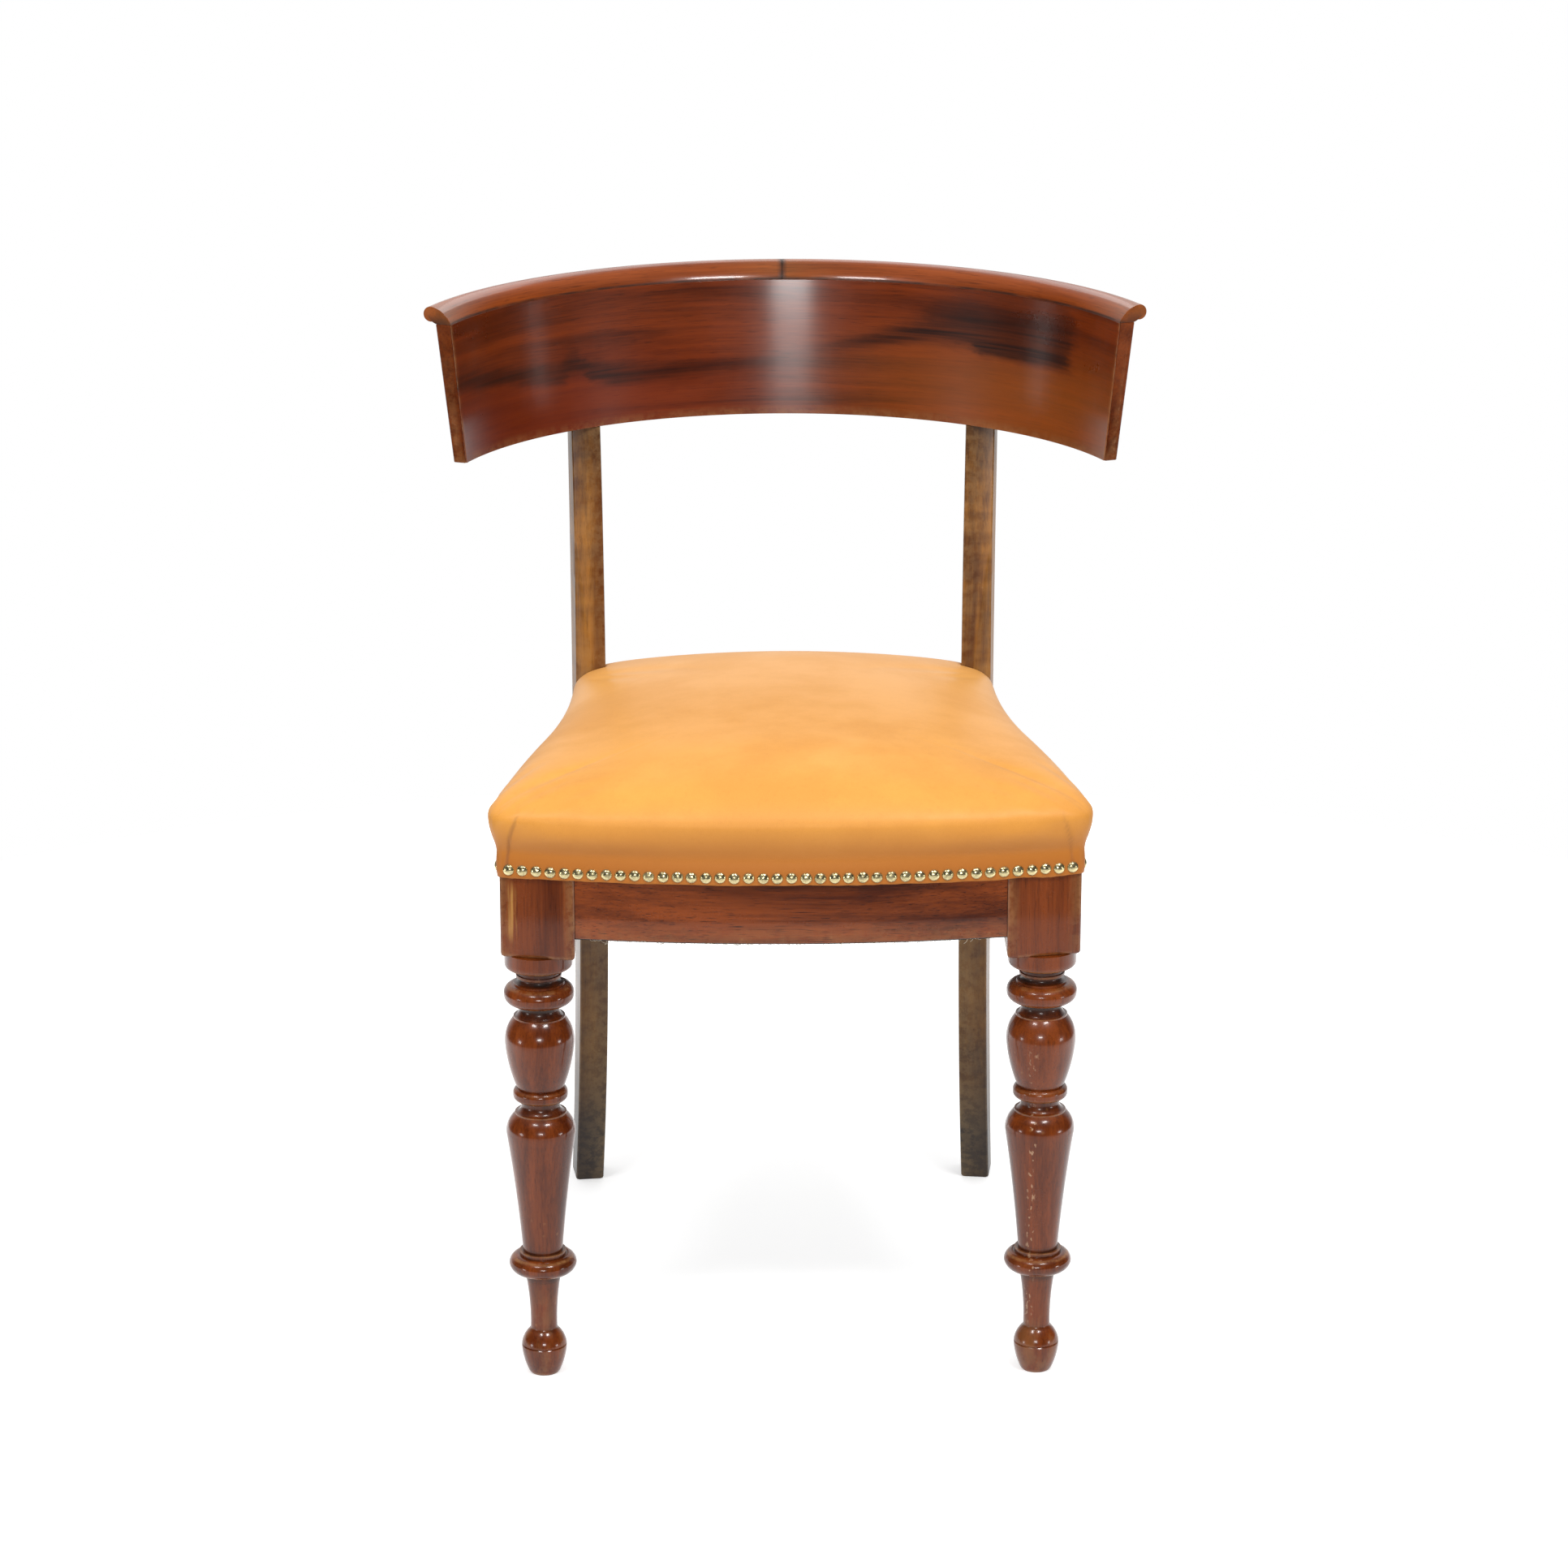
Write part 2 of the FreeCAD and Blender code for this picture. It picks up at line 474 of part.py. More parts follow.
def post_blank():
    """Right rear post before it is trimmed: one sawn outline, the facet and nothing else."""
    top = CREST_TOP - STILE_TOP_DROP
    foot_back = SABRE_FRONT_TRAVEL + SABRE_FOOT_DEPTH
    stile_back = STILE_FRONT_TRAVEL + STILE_DEPTH
    top_front = STILE_FRONT_TRAVEL + STILE_TOP_TRAVEL
    top_back = top_front + STILE_TOP_DEPTH

    def p(travel, z):
        return V(-POST_HALF, travel, z)

    half_leg = SABRE_START_Z / 2
    front_leg_arc = arc(p(0, SABRE_START_Z), p(SABRE_FRONT_TRAVEL * SWEEP_AT_HALF, half_leg),
                        p(SABRE_FRONT_TRAVEL, 0))
    back_sweep = foot_back - POST_SEAT_DEPTH
    back_leg_arc = arc(p(foot_back, 0), p(POST_SEAT_DEPTH + back_sweep * SWEEP_AT_HALF, half_leg),
                       p(POST_SEAT_DEPTH, SABRE_START_Z))
    half_stile = (STILE_START_Z + CREST_BOTTOM) / 2
    front_stile_arc = arc(p(STILE_FRONT_TRAVEL, CREST_BOTTOM),
                          p(STILE_FRONT_TRAVEL * SWEEP_AT_HALF, half_stile), p(0, STILE_START_Z))
    back_stile_arc = arc(p(POST_SEAT_DEPTH, STILE_START_Z),
                         p(POST_SEAT_DEPTH + (stile_back - POST_SEAT_DEPTH) * SWEEP_AT_HALF, half_stile),
                         p(stile_back, CREST_BOTTOM))
    edges = [front_leg_arc, *line([p(SABRE_FRONT_TRAVEL, 0), p(foot_back, 0)]), back_leg_arc,
             *line([p(POST_SEAT_DEPTH, SABRE_START_Z), p(POST_SEAT_DEPTH, STILE_START_Z)]), back_stile_arc,
             *line([p(stile_back, CREST_BOTTOM), p(top_back, top), p(top_front, top),
                    p(STILE_FRONT_TRAVEL, CREST_BOTTOM)]), front_stile_arc,
             *line([p(0, STILE_START_Z), p(0, SABRE_START_Z)])]
    blank = Part.Face(Part.Wire(edges)).extrude(V(POST_WIDTH, 0, 0))
    return to_post_frame(blank.cut(facet_wedge()))


def facet_wedge():
    """What the hand-cut facet takes off the post's outer front edge, from nothing down to the seat."""
    low = RAIL_TOP + FACET_BASE_ABOVE_RAIL
    high = low + FACET_RISE
    rise_share = (high - STILE_START_Z) / (CREST_BOTTOM - STILE_START_Z)
    front_at_top = STILE_FRONT_TRAVEL * rise_share ** 2

    def triangle(z, width, depth, front):
        outside = POST_HALF + CUT_PAST
        return Part.makePolygon([V(POST_HALF - width, front, z), V(outside, front - CUT_PAST, z),
                                 V(outside, front + depth, z), V(POST_HALF - width, front, z)])

    return Part.makeLoft([triangle(low, FACET_WIDTH, FACET_DEPTH, 0),
                          triangle(high, CUT_PAST / 2, CUT_PAST / 2, front_at_top)], True, True)


def crest_section(inner_low, inner_high, outer_low, outer_high):
    """Upright four-sided section of the curved rail, given by its radii."""
    points = [V(inner_low, 0, CREST_BOTTOM), V(outer_low, 0, CREST_BOTTOM), V(outer_high, 0, CREST_TOP),
              V(inner_high, 0, CREST_TOP), V(inner_low, 0, CREST_BOTTOM)]
    return Part.Face(Part.makePolygon(points))


def spin_crest(face, start, stop):
    """Turns a section that stands on the X axis about the crest's axis, between two plan angles."""
    face.rotate(V(0, 0, 0), UP, start)
    solid = face.revolve(V(0, 0, 0), UP, stop - start)
    solid.translate(V(0, CREST_CENTRE_Y, 0))
    return solid


def crest_board():
    inner_low = CREST_INNER_RADIUS + VENEER
    inner_high = inner_low + CREST_FLARE
    section = crest_section(inner_low, inner_high, CREST_INNER_RADIUS + CREST_THICKNESS_LOW,
                            CREST_INNER_RADIUS + CREST_FLARE + CREST_THICKNESS_HIGH)
    return spin_crest(section, 90 - CREST_HALF_ANGLE, 90 + CREST_HALF_ANGLE)


def crest_veneer():
    section = crest_section(CREST_INNER_RADIUS, CREST_INNER_RADIUS + CREST_FLARE,
                            CREST_INNER_RADIUS + VENEER, CREST_INNER_RADIUS + CREST_FLARE + VENEER)
    return spin_crest(section, 90 - CREST_HALF_ANGLE, 90 + CREST_HALF_ANGLE)


def crest_core():
    """Everything inside the rail's outer face, which trims the posts to that face."""
    section = crest_section(CREST_INNER_RADIUS / 2, CREST_INNER_RADIUS / 2,
                            CREST_INNER_RADIUS + CREST_THICKNESS_LOW,
                            CREST_INNER_RADIUS + CREST_FLARE + CREST_THICKNESS_HIGH)
    return spin_crest(section, 90 - CREST_HALF_ANGLE, 90 + CREST_HALF_ANGLE)


def crest_roll():
    """Right half of the rolled moulding that caps the board: a slope up to a bead behind it."""
    inner = CREST_INNER_RADIUS + CREST_FLARE
    outer = inner + CREST_THICKNESS_HIGH
    top = CREST_TOP + ROLL_HEIGHT
    bead = V(outer + ROLL_OVERHANG - ROLL_BEAD_RADIUS, 0, top - ROLL_BEAD_RADIUS)

    def on_bead(degrees):
        a = math.radians(degrees)
        return bead + V(math.cos(a), 0, math.sin(a)) * ROLL_BEAD_RADIUS

    crown = on_bead(100)
    under = on_bead(-100)
    start = V(inner, 0, CREST_TOP)
    heel = V(outer, 0, CREST_TOP)
    rise = (start + crown) * 0.5 + V(-ROLL_SWELL_IN, 0, ROLL_SWELL_UP)
    edges = [arc(start, rise, crown), arc(crown, on_bead(0), under),
             *line([under, heel, start])]
    return spin_crest(Part.Face(Part.Wire(edges)), 90 - CREST_HALF_ANGLE, 90)


def screw(head_point, direction, radius, length, head_radius, head_height):
    """Countersunk wood screw. Its head's flat face lies at head_point and it runs along direction."""
    cone = Part.makeCone(head_radius, radius, head_height, head_point, direction)
    return cone.fuse(rod(radius, length, head_point, direction)).removeSplitter()


def radius_at(point):
    """Distance of a point from the crest's axis."""
    return math.hypot(point.x, point.y - CREST_CENTRE_Y)


def crest_fixings():
    """Two screws and plugs for the right post, driven forwards through it into the board."""
    forwards = V(0, -1, 0)
    turn = FreeCAD.Rotation(UP, -POST_TOE_OUT)
    direction = turn.multVec(forwards)
    screws, plugs, pockets = [], [], []
    top = CREST_TOP - STILE_TOP_DROP
    for z in (CREST_BOTTOM + CREST_SCREW_INSET, CREST_TOP - CREST_SCREW_INSET):
        share = (z - CREST_BOTTOM) / (top - CREST_BOTTOM)
        low_back = STILE_FRONT_TRAVEL + STILE_DEPTH
        high_back = STILE_FRONT_TRAVEL + STILE_TOP_TRAVEL + STILE_TOP_DEPTH
        travel = low_back + (high_back - low_back) * share
        back = turn.multVec(V(0, travel, 0)) + V(POST_CENTRE_X, POST_FRONT_Y, z)
        head = back + direction * PLUG_LENGTH
        board_share = (z - CREST_BOTTOM) / CREST_BOARD_HEIGHT
        stop_radius = CREST_INNER_RADIUS + CREST_FLARE * board_share + VENEER + CREST_SCREW_COVER
        length = CREST_SCREW_STEP
        while radius_at(head + direction * length) > stop_radius:
            length += CREST_SCREW_STEP
        screws.append(screw(head, direction, CREST_SCREW_RADIUS, length, CREST_SCREW_HEAD_RADIUS,
                            CREST_SCREW_HEAD_HEIGHT))
        plugs.append(rod(PLUG_RADIUS, PLUG_LENGTH, back, direction))
        pockets.append(rod(PLUG_RADIUS, PLUG_LENGTH + 2 * PLUG_RADIUS, back - direction * 2 * PLUG_RADIUS,
                           direction))
    return screws, plugs, pockets


def front_corner_block():
    """Right front corner block: it fills the corner behind the leg and wraps the leg's inner corner."""
    side_start = side_x(BLOCK_REAR_Y, -SIDE_RAIL_THICKNESS)
    far_y = BLOCK_REAR_Y + CORNER_REACH
    points = [(BLOCK_INNER_X - CORNER_REACH, FRONT_RAIL_INNER_Y), (BLOCK_INNER_X, FRONT_RAIL_INNER_Y),
              (BLOCK_INNER_X, BLOCK_REAR_Y), (side_start, BLOCK_REAR_Y),
              (side_x(far_y, -SIDE_RAIL_THICKNESS), far_y)]
    top = RAIL_TOP - CORNER_DROP
    return prism(points, top - CORNER_HEIGHT, top)


def rear_corner_block():
    """Right rear corner block between the rear rail, the post's inner corner and the side rail."""
    inner_x = POST_CENTRE_X - POST_HALF
    post_x = inner_x - REAR_CORNER_GAP
    far_y = POST_FRONT_Y - CORNER_REACH
    points = [(inner_x - CORNER_REACH, REAR_RAIL_INNER_Y), (post_x, REAR_RAIL_INNER_Y),
              (post_x, POST_FRONT_Y), (side_x(POST_FRONT_Y, -SIDE_RAIL_THICKNESS), POST_FRONT_Y),
              (side_x(far_y, -SIDE_RAIL_THICKNESS), far_y)]
    top = RAIL_TOP - CORNER_DROP
    return prism(points, top - CORNER_HEIGHT, top)


def block_screws():
    """Screws of the two right corner blocks, each square to the rail that it bites into."""
    z = RAIL_TOP - CORNER_DROP - CORNER_HEIGHT / 2
    inner_x = POST_CENTRE_X - POST_HALF
    places = [(V(BLOCK_INNER_X - CORNER_REACH + BLOCK_SCREW_INSET, FRONT_RAIL_INNER_Y, z), V(0, -1, 0)),
              (V(inner_x - CORNER_REACH + BLOCK_SCREW_INSET, REAR_RAIL_INNER_Y, z), V(0, 1, 0))]
    reach = CORNER_REACH - BLOCK_SCREW_INSET
    for y in (BLOCK_REAR_Y + reach, POST_FRONT_Y - reach):
        places.append((V(side_x(y, -SIDE_RAIL_THICKNESS), y, z), side_out(y)))
    screws, pockets = [], []
    for face_point, direction in places:
        head = face_point - direction * BLOCK_SCREW_SEAT
        screws.append(screw(head, direction, BLOCK_SCREW_RADIUS, BLOCK_SCREW_SEAT + BLOCK_SCREW_BITE,
                            BLOCK_SCREW_HEAD_RADIUS, BLOCK_SCREW_HEAD_HEIGHT))
        pockets.append(rod(BLOCK_SCREW_HEAD_RADIUS + BLOCK_SCREW_POCKET, CORNER_REACH,
                           head - direction * CORNER_REACH, direction))
    return screws, pockets


def straps():
    """Jute webbing on top of the rails: one layer from front to back and one across it."""
    low, mid, high = RAIL_TOP, RAIL_TOP + STRAP_THICKNESS, RAIL_TOP + 2 * STRAP_THICKNESS
    lengthwise, crosswise, tacks = [], [], []
    inner_half = POST_CENTRE_X - POST_HALF - STRAP_WIDTH / 2 - STRAP_EDGE
    for i in range(STRAPS_LENGTHWISE):
        x = inner_half * (2 * i / (STRAPS_LENGTHWISE - 1) - 1)
        front = bow_y(abs(x) + STRAP_WIDTH / 2) + STRAP_EDGE
        back = REAR_RAIL_OUTER_Y - STRAP_EDGE
        lengthwise.append(box(x - STRAP_WIDTH / 2, x + STRAP_WIDTH / 2, front, back, low, mid))
        for end in (front + STRAP_EDGE, back - STRAP_EDGE):
            tacks += [V(x + d, end, mid) for d in tack_row()]
    first = BLOCK_REAR_Y + STRAP_WIDTH / 2 + STRAP_EDGE
    last = POST_FRONT_Y - STRAP_WIDTH / 2 - STRAP_EDGE
    for i in range(STRAPS_CROSSWISE):
        y = first + (last - first) * i / (STRAPS_CROSSWISE - 1)
        half = side_x(y + STRAP_WIDTH / 2) - STRAP_EDGE
        crosswise.append(box(-half, half, y - STRAP_WIDTH / 2, y + STRAP_WIDTH / 2, mid, high))
        for end in (-half + STRAP_EDGE, half - STRAP_EDGE):
            tacks += [V(end, y + d, high) for d in tack_row()]
    return lengthwise, crosswise, [tack(p, V(0, 0, -1)) for p in tacks]


def tack_row():
    step = (STRAP_WIDTH - 4 * TACK_HEAD_RADIUS) / (TACKS_PER_END - 1)
    return [step * (i - (TACKS_PER_END - 1) / 2) for i in range(TACKS_PER_END)]


def tack(point, direction):
    """Flat-headed tack whose head sits on point and whose shank runs along direction."""
    head = rod(TACK_HEAD_RADIUS, TACK_HEAD, point - direction * TACK_HEAD, direction)
    return head.fuse(rod(TACK_RADIUS, TACK_LENGTH, point, direction)).removeSplitter()


def seat_form(skin):
    """The stuffed seat: drawn in to the frame below, a bulge above it, a round shoulder and a crown."""
    sections = [outline_wire(STUFFING_BOTTOM, skin, FRAME_CORNER_RADIUS + skin)]
    rise = SEAT_CROWN + skin - SEAT_BULGE_Z
    for i in range(SEAT_STEPS + 1):
        share = i / SEAT_STEPS
        z = SEAT_BULGE_Z + rise * (1 - (1 - share) ** SEAT_FULLNESS)
        inset = skin - SEAT_CROWN_INSET * share ** SEAT_CROWN_EASE
        corner = SEAT_CORNER_RADIUS + SEAT_CORNER_GROWTH * share
        sections.append(outline_wire(z, SEAT_BULGE + inset, corner, SEAT_BULGE_AT_POSTS + inset))
    return Part.makeLoft(sections, True, True)


def post_notch(gap):
    """Space of a right rear corner that the upholstery leaves to the post."""
    far = 4 * POST_SEAT_DEPTH
    return to_post_frame(box(-POST_HALF - gap, far, -gap, far, 0, CREST_BOTTOM))


def nail_places():
    """Feet of the nails on the leather and their outward directions, row by row."""
    radius = FRONT_BOW_RADIUS + SKIN
    corner = FRAME_CORNER_RADIUS + NAIL_HEAD_RADIUS
    sweep = math.asin((FRONT_HALF_WIDTH - corner) / radius)
    gaps = round(2 * sweep * radius / NAIL_PITCH)
    front = []
    for i in range(gaps + 1):
        a = sweep * (2 * i / gaps - 1)
        out = V(math.sin(a), -math.cos(a), 0)
        front.append((V(0, BOW_CENTRE_Y, NAIL_LINE_Z) + out * radius, out))
    first, last = FRONT_CORNER_Y + corner, POST_FRONT_Y - POST_GAP - NAIL_HEAD_RADIUS
    gaps = round((last - first) / NAIL_PITCH)
    right = []
    for i in range(gaps + 1):
        y = first + (last - first) * i / gaps
        right.append((V(side_x(y, SKIN), y, NAIL_LINE_Z), side_out(y)))
    half = POST_CENTRE_X - POST_HALF - 2 * NAIL_HEAD_RADIUS
    gaps = round(2 * half / NAIL_PITCH)
    rear = [(V(half * (2 * i / gaps - 1), REAR_RAIL_OUTER_Y + SKIN, NAIL_LINE_Z), V(0, 1, 0))
            for i in range(gaps + 1)]
    return front, right, rear


def nail(foot, out):
    """Domed nail: a cap on the leather and a shank through it into the wood."""
    r, h = NAIL_HEAD_RADIUS, NAIL_HEAD_HEIGHT
    ball = (r * r + h * h) / (2 * h)
    side = V(ball * math.sin(math.acos((ball - h) / ball) / 2), 0,
             h - ball + ball * math.cos(math.acos((ball - h) / ball) / 2))
    edges = [arc(V(r, 0, 0), side, V(0, 0, h)),
             *line([V(0, 0, h), V(0, 0, -NAIL_SHANK_LENGTH), V(NAIL_SHANK_RADIUS, 0, -NAIL_SHANK_LENGTH),
                    V(NAIL_SHANK_RADIUS, 0, 0), V(r, 0, 0)])]
    body = Part.Face(Part.Wire(edges)).revolve(V(0, 0, 0), UP, 360)
    body.Placement = FreeCAD.Placement(foot + out * NAIL_LIFT, FreeCAD.Rotation(UP, out))
    return body


def shanks(places):
    return [rod(NAIL_SHANK_RADIUS, NAIL_SHANK_LENGTH + SKIN, foot + out * SKIN, -out)
            for foot, out in places]


def bottom_cloth(obstacles):
    """Cloth under the seat frame, cut round the leg blocks and the posts, and its tacks."""
    low = RAIL_BOTTOM - BOTTOM_CLOTH
    cloth = outline_prism(low, RAIL_BOTTOM, -BOTTOM_CLOTH_EDGE, FRAME_CORNER_RADIUS)
    for side in (-1, 1):
        x0, x1 = sorted((side * (BLOCK_INNER_X - BOTTOM_CLOTH_GAP), side * 2 * FRONT_HALF_WIDTH))
        cloth = cloth.cut(box(x0, x1, FRAME_FRONT_Y - CUT_PAST, BLOCK_REAR_Y + BOTTOM_CLOTH_GAP,
                              low - CUT_PAST, RAIL_BOTTOM + CUT_PAST))
    cloth = cloth.cut(obstacles)
    points = []
    inset = BOTTOM_CLOTH_EDGE + BOTTOM_TACK_INSET
    half = BLOCK_INNER_X - BOTTOM_TACK_INSET
    count = round(2 * half / BOTTOM_TACK_PITCH)
    points += [V(half * (2 * i / count - 1), bow_y(abs(half * (2 * i / count - 1)), -inset), low)
               for i in range(count + 1)]
    first, last = BLOCK_REAR_Y + 3 * BOTTOM_TACK_INSET, POST_FRONT_Y - 3 * BOTTOM_TACK_INSET
    count = round((last - first) / BOTTOM_TACK_PITCH)
    for i in range(count + 1):
        y = first + (last - first) * i / count
        points += [V(side * side_x(y, -inset), y, low) for side in (-1, 1)]
    half = POST_CENTRE_X - POST_HALF - 3 * BOTTOM_TACK_INSET
    count = round(2 * half / BOTTOM_TACK_PITCH)
    points += [V(half * (2 * i / count - 1), REAR_RAIL_OUTER_Y - inset, low) for i in range(count + 1)]
    tacks = [tack(p, UP) for p in points]
    return cloth.cut(tacks), tacks


def build():
    """Every piece of the chair by node name, in the bench frame."""
    parts = {}
    front_body, front_tenon = front_rail_body(0, 0)
    side_body, side_tenons = side_rail_body(0, 0)
    rear_body, rear_tenon = rear_rail_body(0, 0)
    front_mortise = front_rail_body(TENON_CLEARANCE, TENON_END_GAP)[1]
    side_mortises = side_rail_body(TENON_CLEARANCE, TENON_END_GAP)[1]
    rear_mortise = rear_rail_body(TENON_CLEARANCE, TENON_END_GAP)[1]

    blank = post_blank()
    board, veneer, roll = crest_board(), crest_veneer(), crest_roll()
    crest_screws, plugs, pockets = crest_fixings()
    post = blank.cut([crest_core(), *side_mortises, rear_mortise, *crest_screws, *pockets])
    plugs = [p.common(blank) for p in plugs]

    screws, screw_pockets = block_screws()
    all_screws = [s for one in screws for s in both_sides(one)]
    front_row, right_row, rear_row = nail_places()
    left_row = [(V(-p.x, p.y, p.z), V(-o.x, o.y, o.z)) for p, o in right_row]
    front_holes, right_holes, rear_holes = shanks(front_row), shanks(right_row), shanks(rear_row)
    lengthwise, crosswise, webbing_tacks = straps()
    cloth, cloth_tacks = bottom_cloth(both_sides(post_notch(POST_GAP)))
    small_metal = webbing_tacks + cloth_tacks

    right_side_holes = [h for h in front_holes + right_holes if h.BoundBox.XMax > 0]
    leg = front_leg().cut([front_mortise, *side_mortises, *right_side_holes])
    parts["front_leg_right"] = leg
    parts["front_leg_left"] = mirrored(leg)
    parts["front_seat_rail"] = front_body.fuse(front_tenon).removeSplitter().cut(
        all_screws + front_holes + small_metal)
    side_rail = side_body.cut(blank).fuse(side_tenons).removeSplitter().cut(
        screws + right_holes + [t for t in small_metal if t.BoundBox.XMax > 0])
    parts["side_seat_rail_right"] = side_rail
    parts["side_seat_rail_left"] = mirrored(side_rail)
    parts["rear_seat_rail"] = rear_body.cut(both_sides(blank)).fuse(rear_tenon).removeSplitter().cut(
        all_screws + rear_holes + small_metal)
    parts["rear_post_right"] = post
    parts["rear_post_left"] = mirrored(post)

    parts["crest_board"] = board.cut([s for one in crest_screws for s in both_sides(one)])
    parts["crest_face_veneer"] = veneer
    parts["crest_roll_right"] = roll
    parts["crest_roll_left"] = mirrored(roll)
    parts["crest_screws"] = [s for one in crest_screws for s in both_sides(one)]
    parts["crest_screw_plugs"] = [p for one in plugs for p in both_sides(one)]

    front_corner = front_corner_block().cut([side_body] + screws + screw_pockets)
    rear_corner = rear_corner_block().cut([side_body, blank] + screws + screw_pockets)
    parts["corner_block_front_right"] = front_corner
    parts["corner_block_front_left"] = mirrored(front_corner)
    parts["corner_block_rear_right"] = rear_corner
    parts["corner_block_rear_left"] = mirrored(rear_corner)
    parts["corner_block_screws"] = all_screws

    notches = both_sides(post_notch(POST_GAP))
    parts["webbing_lengthwise"] = [s.cut(webbing_tacks) for s in lengthwise]
    parts["webbing_crosswise"] = [s.cut(webbing_tacks + notches) for s in crosswise]
    parts["webbing_tacks"] = webbing_tacks
    hessian = outline_prism(STUFFING_BOTTOM - HESSIAN, STUFFING_BOTTOM, -HESSIAN_EDGE, FRAME_CORNER_RADIUS)
    parts["hessian_platform"] = hessian.cut(notches + webbing_tacks)
    stuffing = seat_form(0)
    parts["seat_stuffing"] = stuffing.cut(notches)
    band_low = NAIL_LINE_Z - LEATHER_BELOW_NAILS
    band = outline_prism(band_low, STUFFING_BOTTOM, SKIN, FRAME_CORNER_RADIUS + SKIN)
    band = band.cut(outline_prism(band_low, STUFFING_BOTTOM, 0, FRAME_CORNER_RADIUS))
    band = band.cut(notches + front_holes + right_holes + [mirrored(h) for h in right_holes] + rear_holes)
    parts["leather_cover"] = seat_form(SKIN).cut(stuffing).cut(notches).fuse(band)
    parts["seat_nails_front"] = [nail(*place) for place in front_row]
    parts["seat_nails_right"] = [nail(*place) for place in right_row]
    parts["seat_nails_left"] = [nail(*place) for place in left_row]
    parts["seat_nails_rear"] = [nail(*place) for place in rear_row]
    parts["bottom_cloth"] = cloth
    parts["bottom_cloth_tacks"] = cloth_tacks
    return parts


def solids_of(piece):
    shapes = piece if isinstance(piece, list) else [piece]
    return [s for shape in shapes for s in shape.Solids]


def main():
    os.makedirs("parts", exist_ok=True)
    for name, piece in build().items():
        solids = solids_of(piece)
        shape = solids[0] if len(solids) == 1 else Part.makeCompound(solids)
        shape.translate(V(0, -ORIGIN_Y, 0))
        shape.exportStep(os.path.join("parts", name + ".step"))
        size = shape.BoundBox
        print(f"{name:26s} {len(solids):3d} solids  valid {shape.isValid()}"
              f"  volume {shape.Volume / 1000:8.1f} cm3"
              f"  {size.XLength:6.1f} x {size.YLength:6.1f} x {size.ZLength:6.1f}")
    print(f"origin lies {ORIGIN_Y:.2f} behind the front legs' axis")


main()
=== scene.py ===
"""Klismos side chair: mahogany crest rail and turned front legs, stained birch sabre posts, and a
stuffed seat in tan leather closed with antiqued brass nails.

Sizes are in millimetres in the bench frame of the joinery (X to the right in the front view, Y from
the front legs to the back, Z up) and are carried to metres in the chair's own frame by `place`.
"""
import json
import math

import bmesh
import bpy
import numpy as np
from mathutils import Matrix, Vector, noise

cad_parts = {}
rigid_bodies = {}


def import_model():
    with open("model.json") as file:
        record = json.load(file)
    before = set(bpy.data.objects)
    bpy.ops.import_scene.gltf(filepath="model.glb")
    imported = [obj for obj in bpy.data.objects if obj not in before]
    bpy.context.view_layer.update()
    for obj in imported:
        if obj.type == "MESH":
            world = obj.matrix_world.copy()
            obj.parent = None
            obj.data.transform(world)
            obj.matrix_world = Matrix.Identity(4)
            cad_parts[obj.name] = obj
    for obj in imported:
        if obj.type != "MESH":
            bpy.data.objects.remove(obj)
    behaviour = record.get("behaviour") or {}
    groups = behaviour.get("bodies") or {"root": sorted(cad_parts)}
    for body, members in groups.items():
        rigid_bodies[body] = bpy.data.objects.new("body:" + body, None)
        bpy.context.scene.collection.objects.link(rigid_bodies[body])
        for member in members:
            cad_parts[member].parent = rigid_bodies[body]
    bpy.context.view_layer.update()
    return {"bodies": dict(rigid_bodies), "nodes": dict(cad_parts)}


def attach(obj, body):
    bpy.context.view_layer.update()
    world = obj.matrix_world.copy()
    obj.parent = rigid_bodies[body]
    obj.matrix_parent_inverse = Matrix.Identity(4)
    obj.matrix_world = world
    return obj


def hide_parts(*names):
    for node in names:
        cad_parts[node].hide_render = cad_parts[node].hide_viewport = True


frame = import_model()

bl_info = {
    "name": "Klismos Chair",
    "version": (1, 0, 0),
    "blender": (4, 5, 0),
    "location": "3D View > Sidebar > Chair",
    "description": "Builds the visible pieces of a klismos side chair, its finishes and its stage",
    "category": "Object",
}

MM = 0.001
ORIGIN_Y = 194.4                # the chair's middle behind the front legs' axis

# Seat frame
FRONT_HALF_WIDTH = 218.5
REAR_HALF_WIDTH = 168.0
FRAME_FRONT_Y = -41.0
BOW_RADIUS = 950.0
BOW_CENTRE_Y = FRAME_FRONT_Y + BOW_RADIUS
POST_FRONT_Y = 338.0
SIDE_TURN_SHARE = 0.5
SIDE_SWELL_RATIO = 3.0
RAIL_TOP = 426.0
RAIL_BOTTOM = 361.0
RAIL_THICKNESS = 22.0
REAR_RAIL_INNER_Y = 345.0
REAR_RAIL_OUTER_Y = 367.0
FRONT_RAIL_RECESS = 1.5
FRONT_RAIL_INNER_Y = -8.0
BLOCK_INNER_X = 162.0
BLOCK_REAR_Y = 27.5
BLOCK_BOTTOM = 344.0
LEG_CENTRE_X = 190.25
ARRIS = 1.1                     # rounding of worn wooden edges

# Rear posts
POST_HALF = 11.75
POST_CENTRE_X = 156.149
POST_TOE = math.radians(7.5)
POST_SEAT_DEPTH = 42.0
SWEEP_AT_HALF = 0.245
SABRE_START_Z = 300.0
SABRE_TRAVEL = 62.0
SABRE_FOOT_DEPTH = 30.0
STILE_START_Z = 436.0
STILE_DEPTH = 33.0
STILE_TOP_Z = 769.0
STILE_TOP_TRAVEL = 16.0
STILE_TOP_DEPTH = 25.0
FACET_LOW_Z = 438.0
FACET_RISE = 150.0
FACET_WIDTH = 17.5
FACET_DEPTH = 10.0

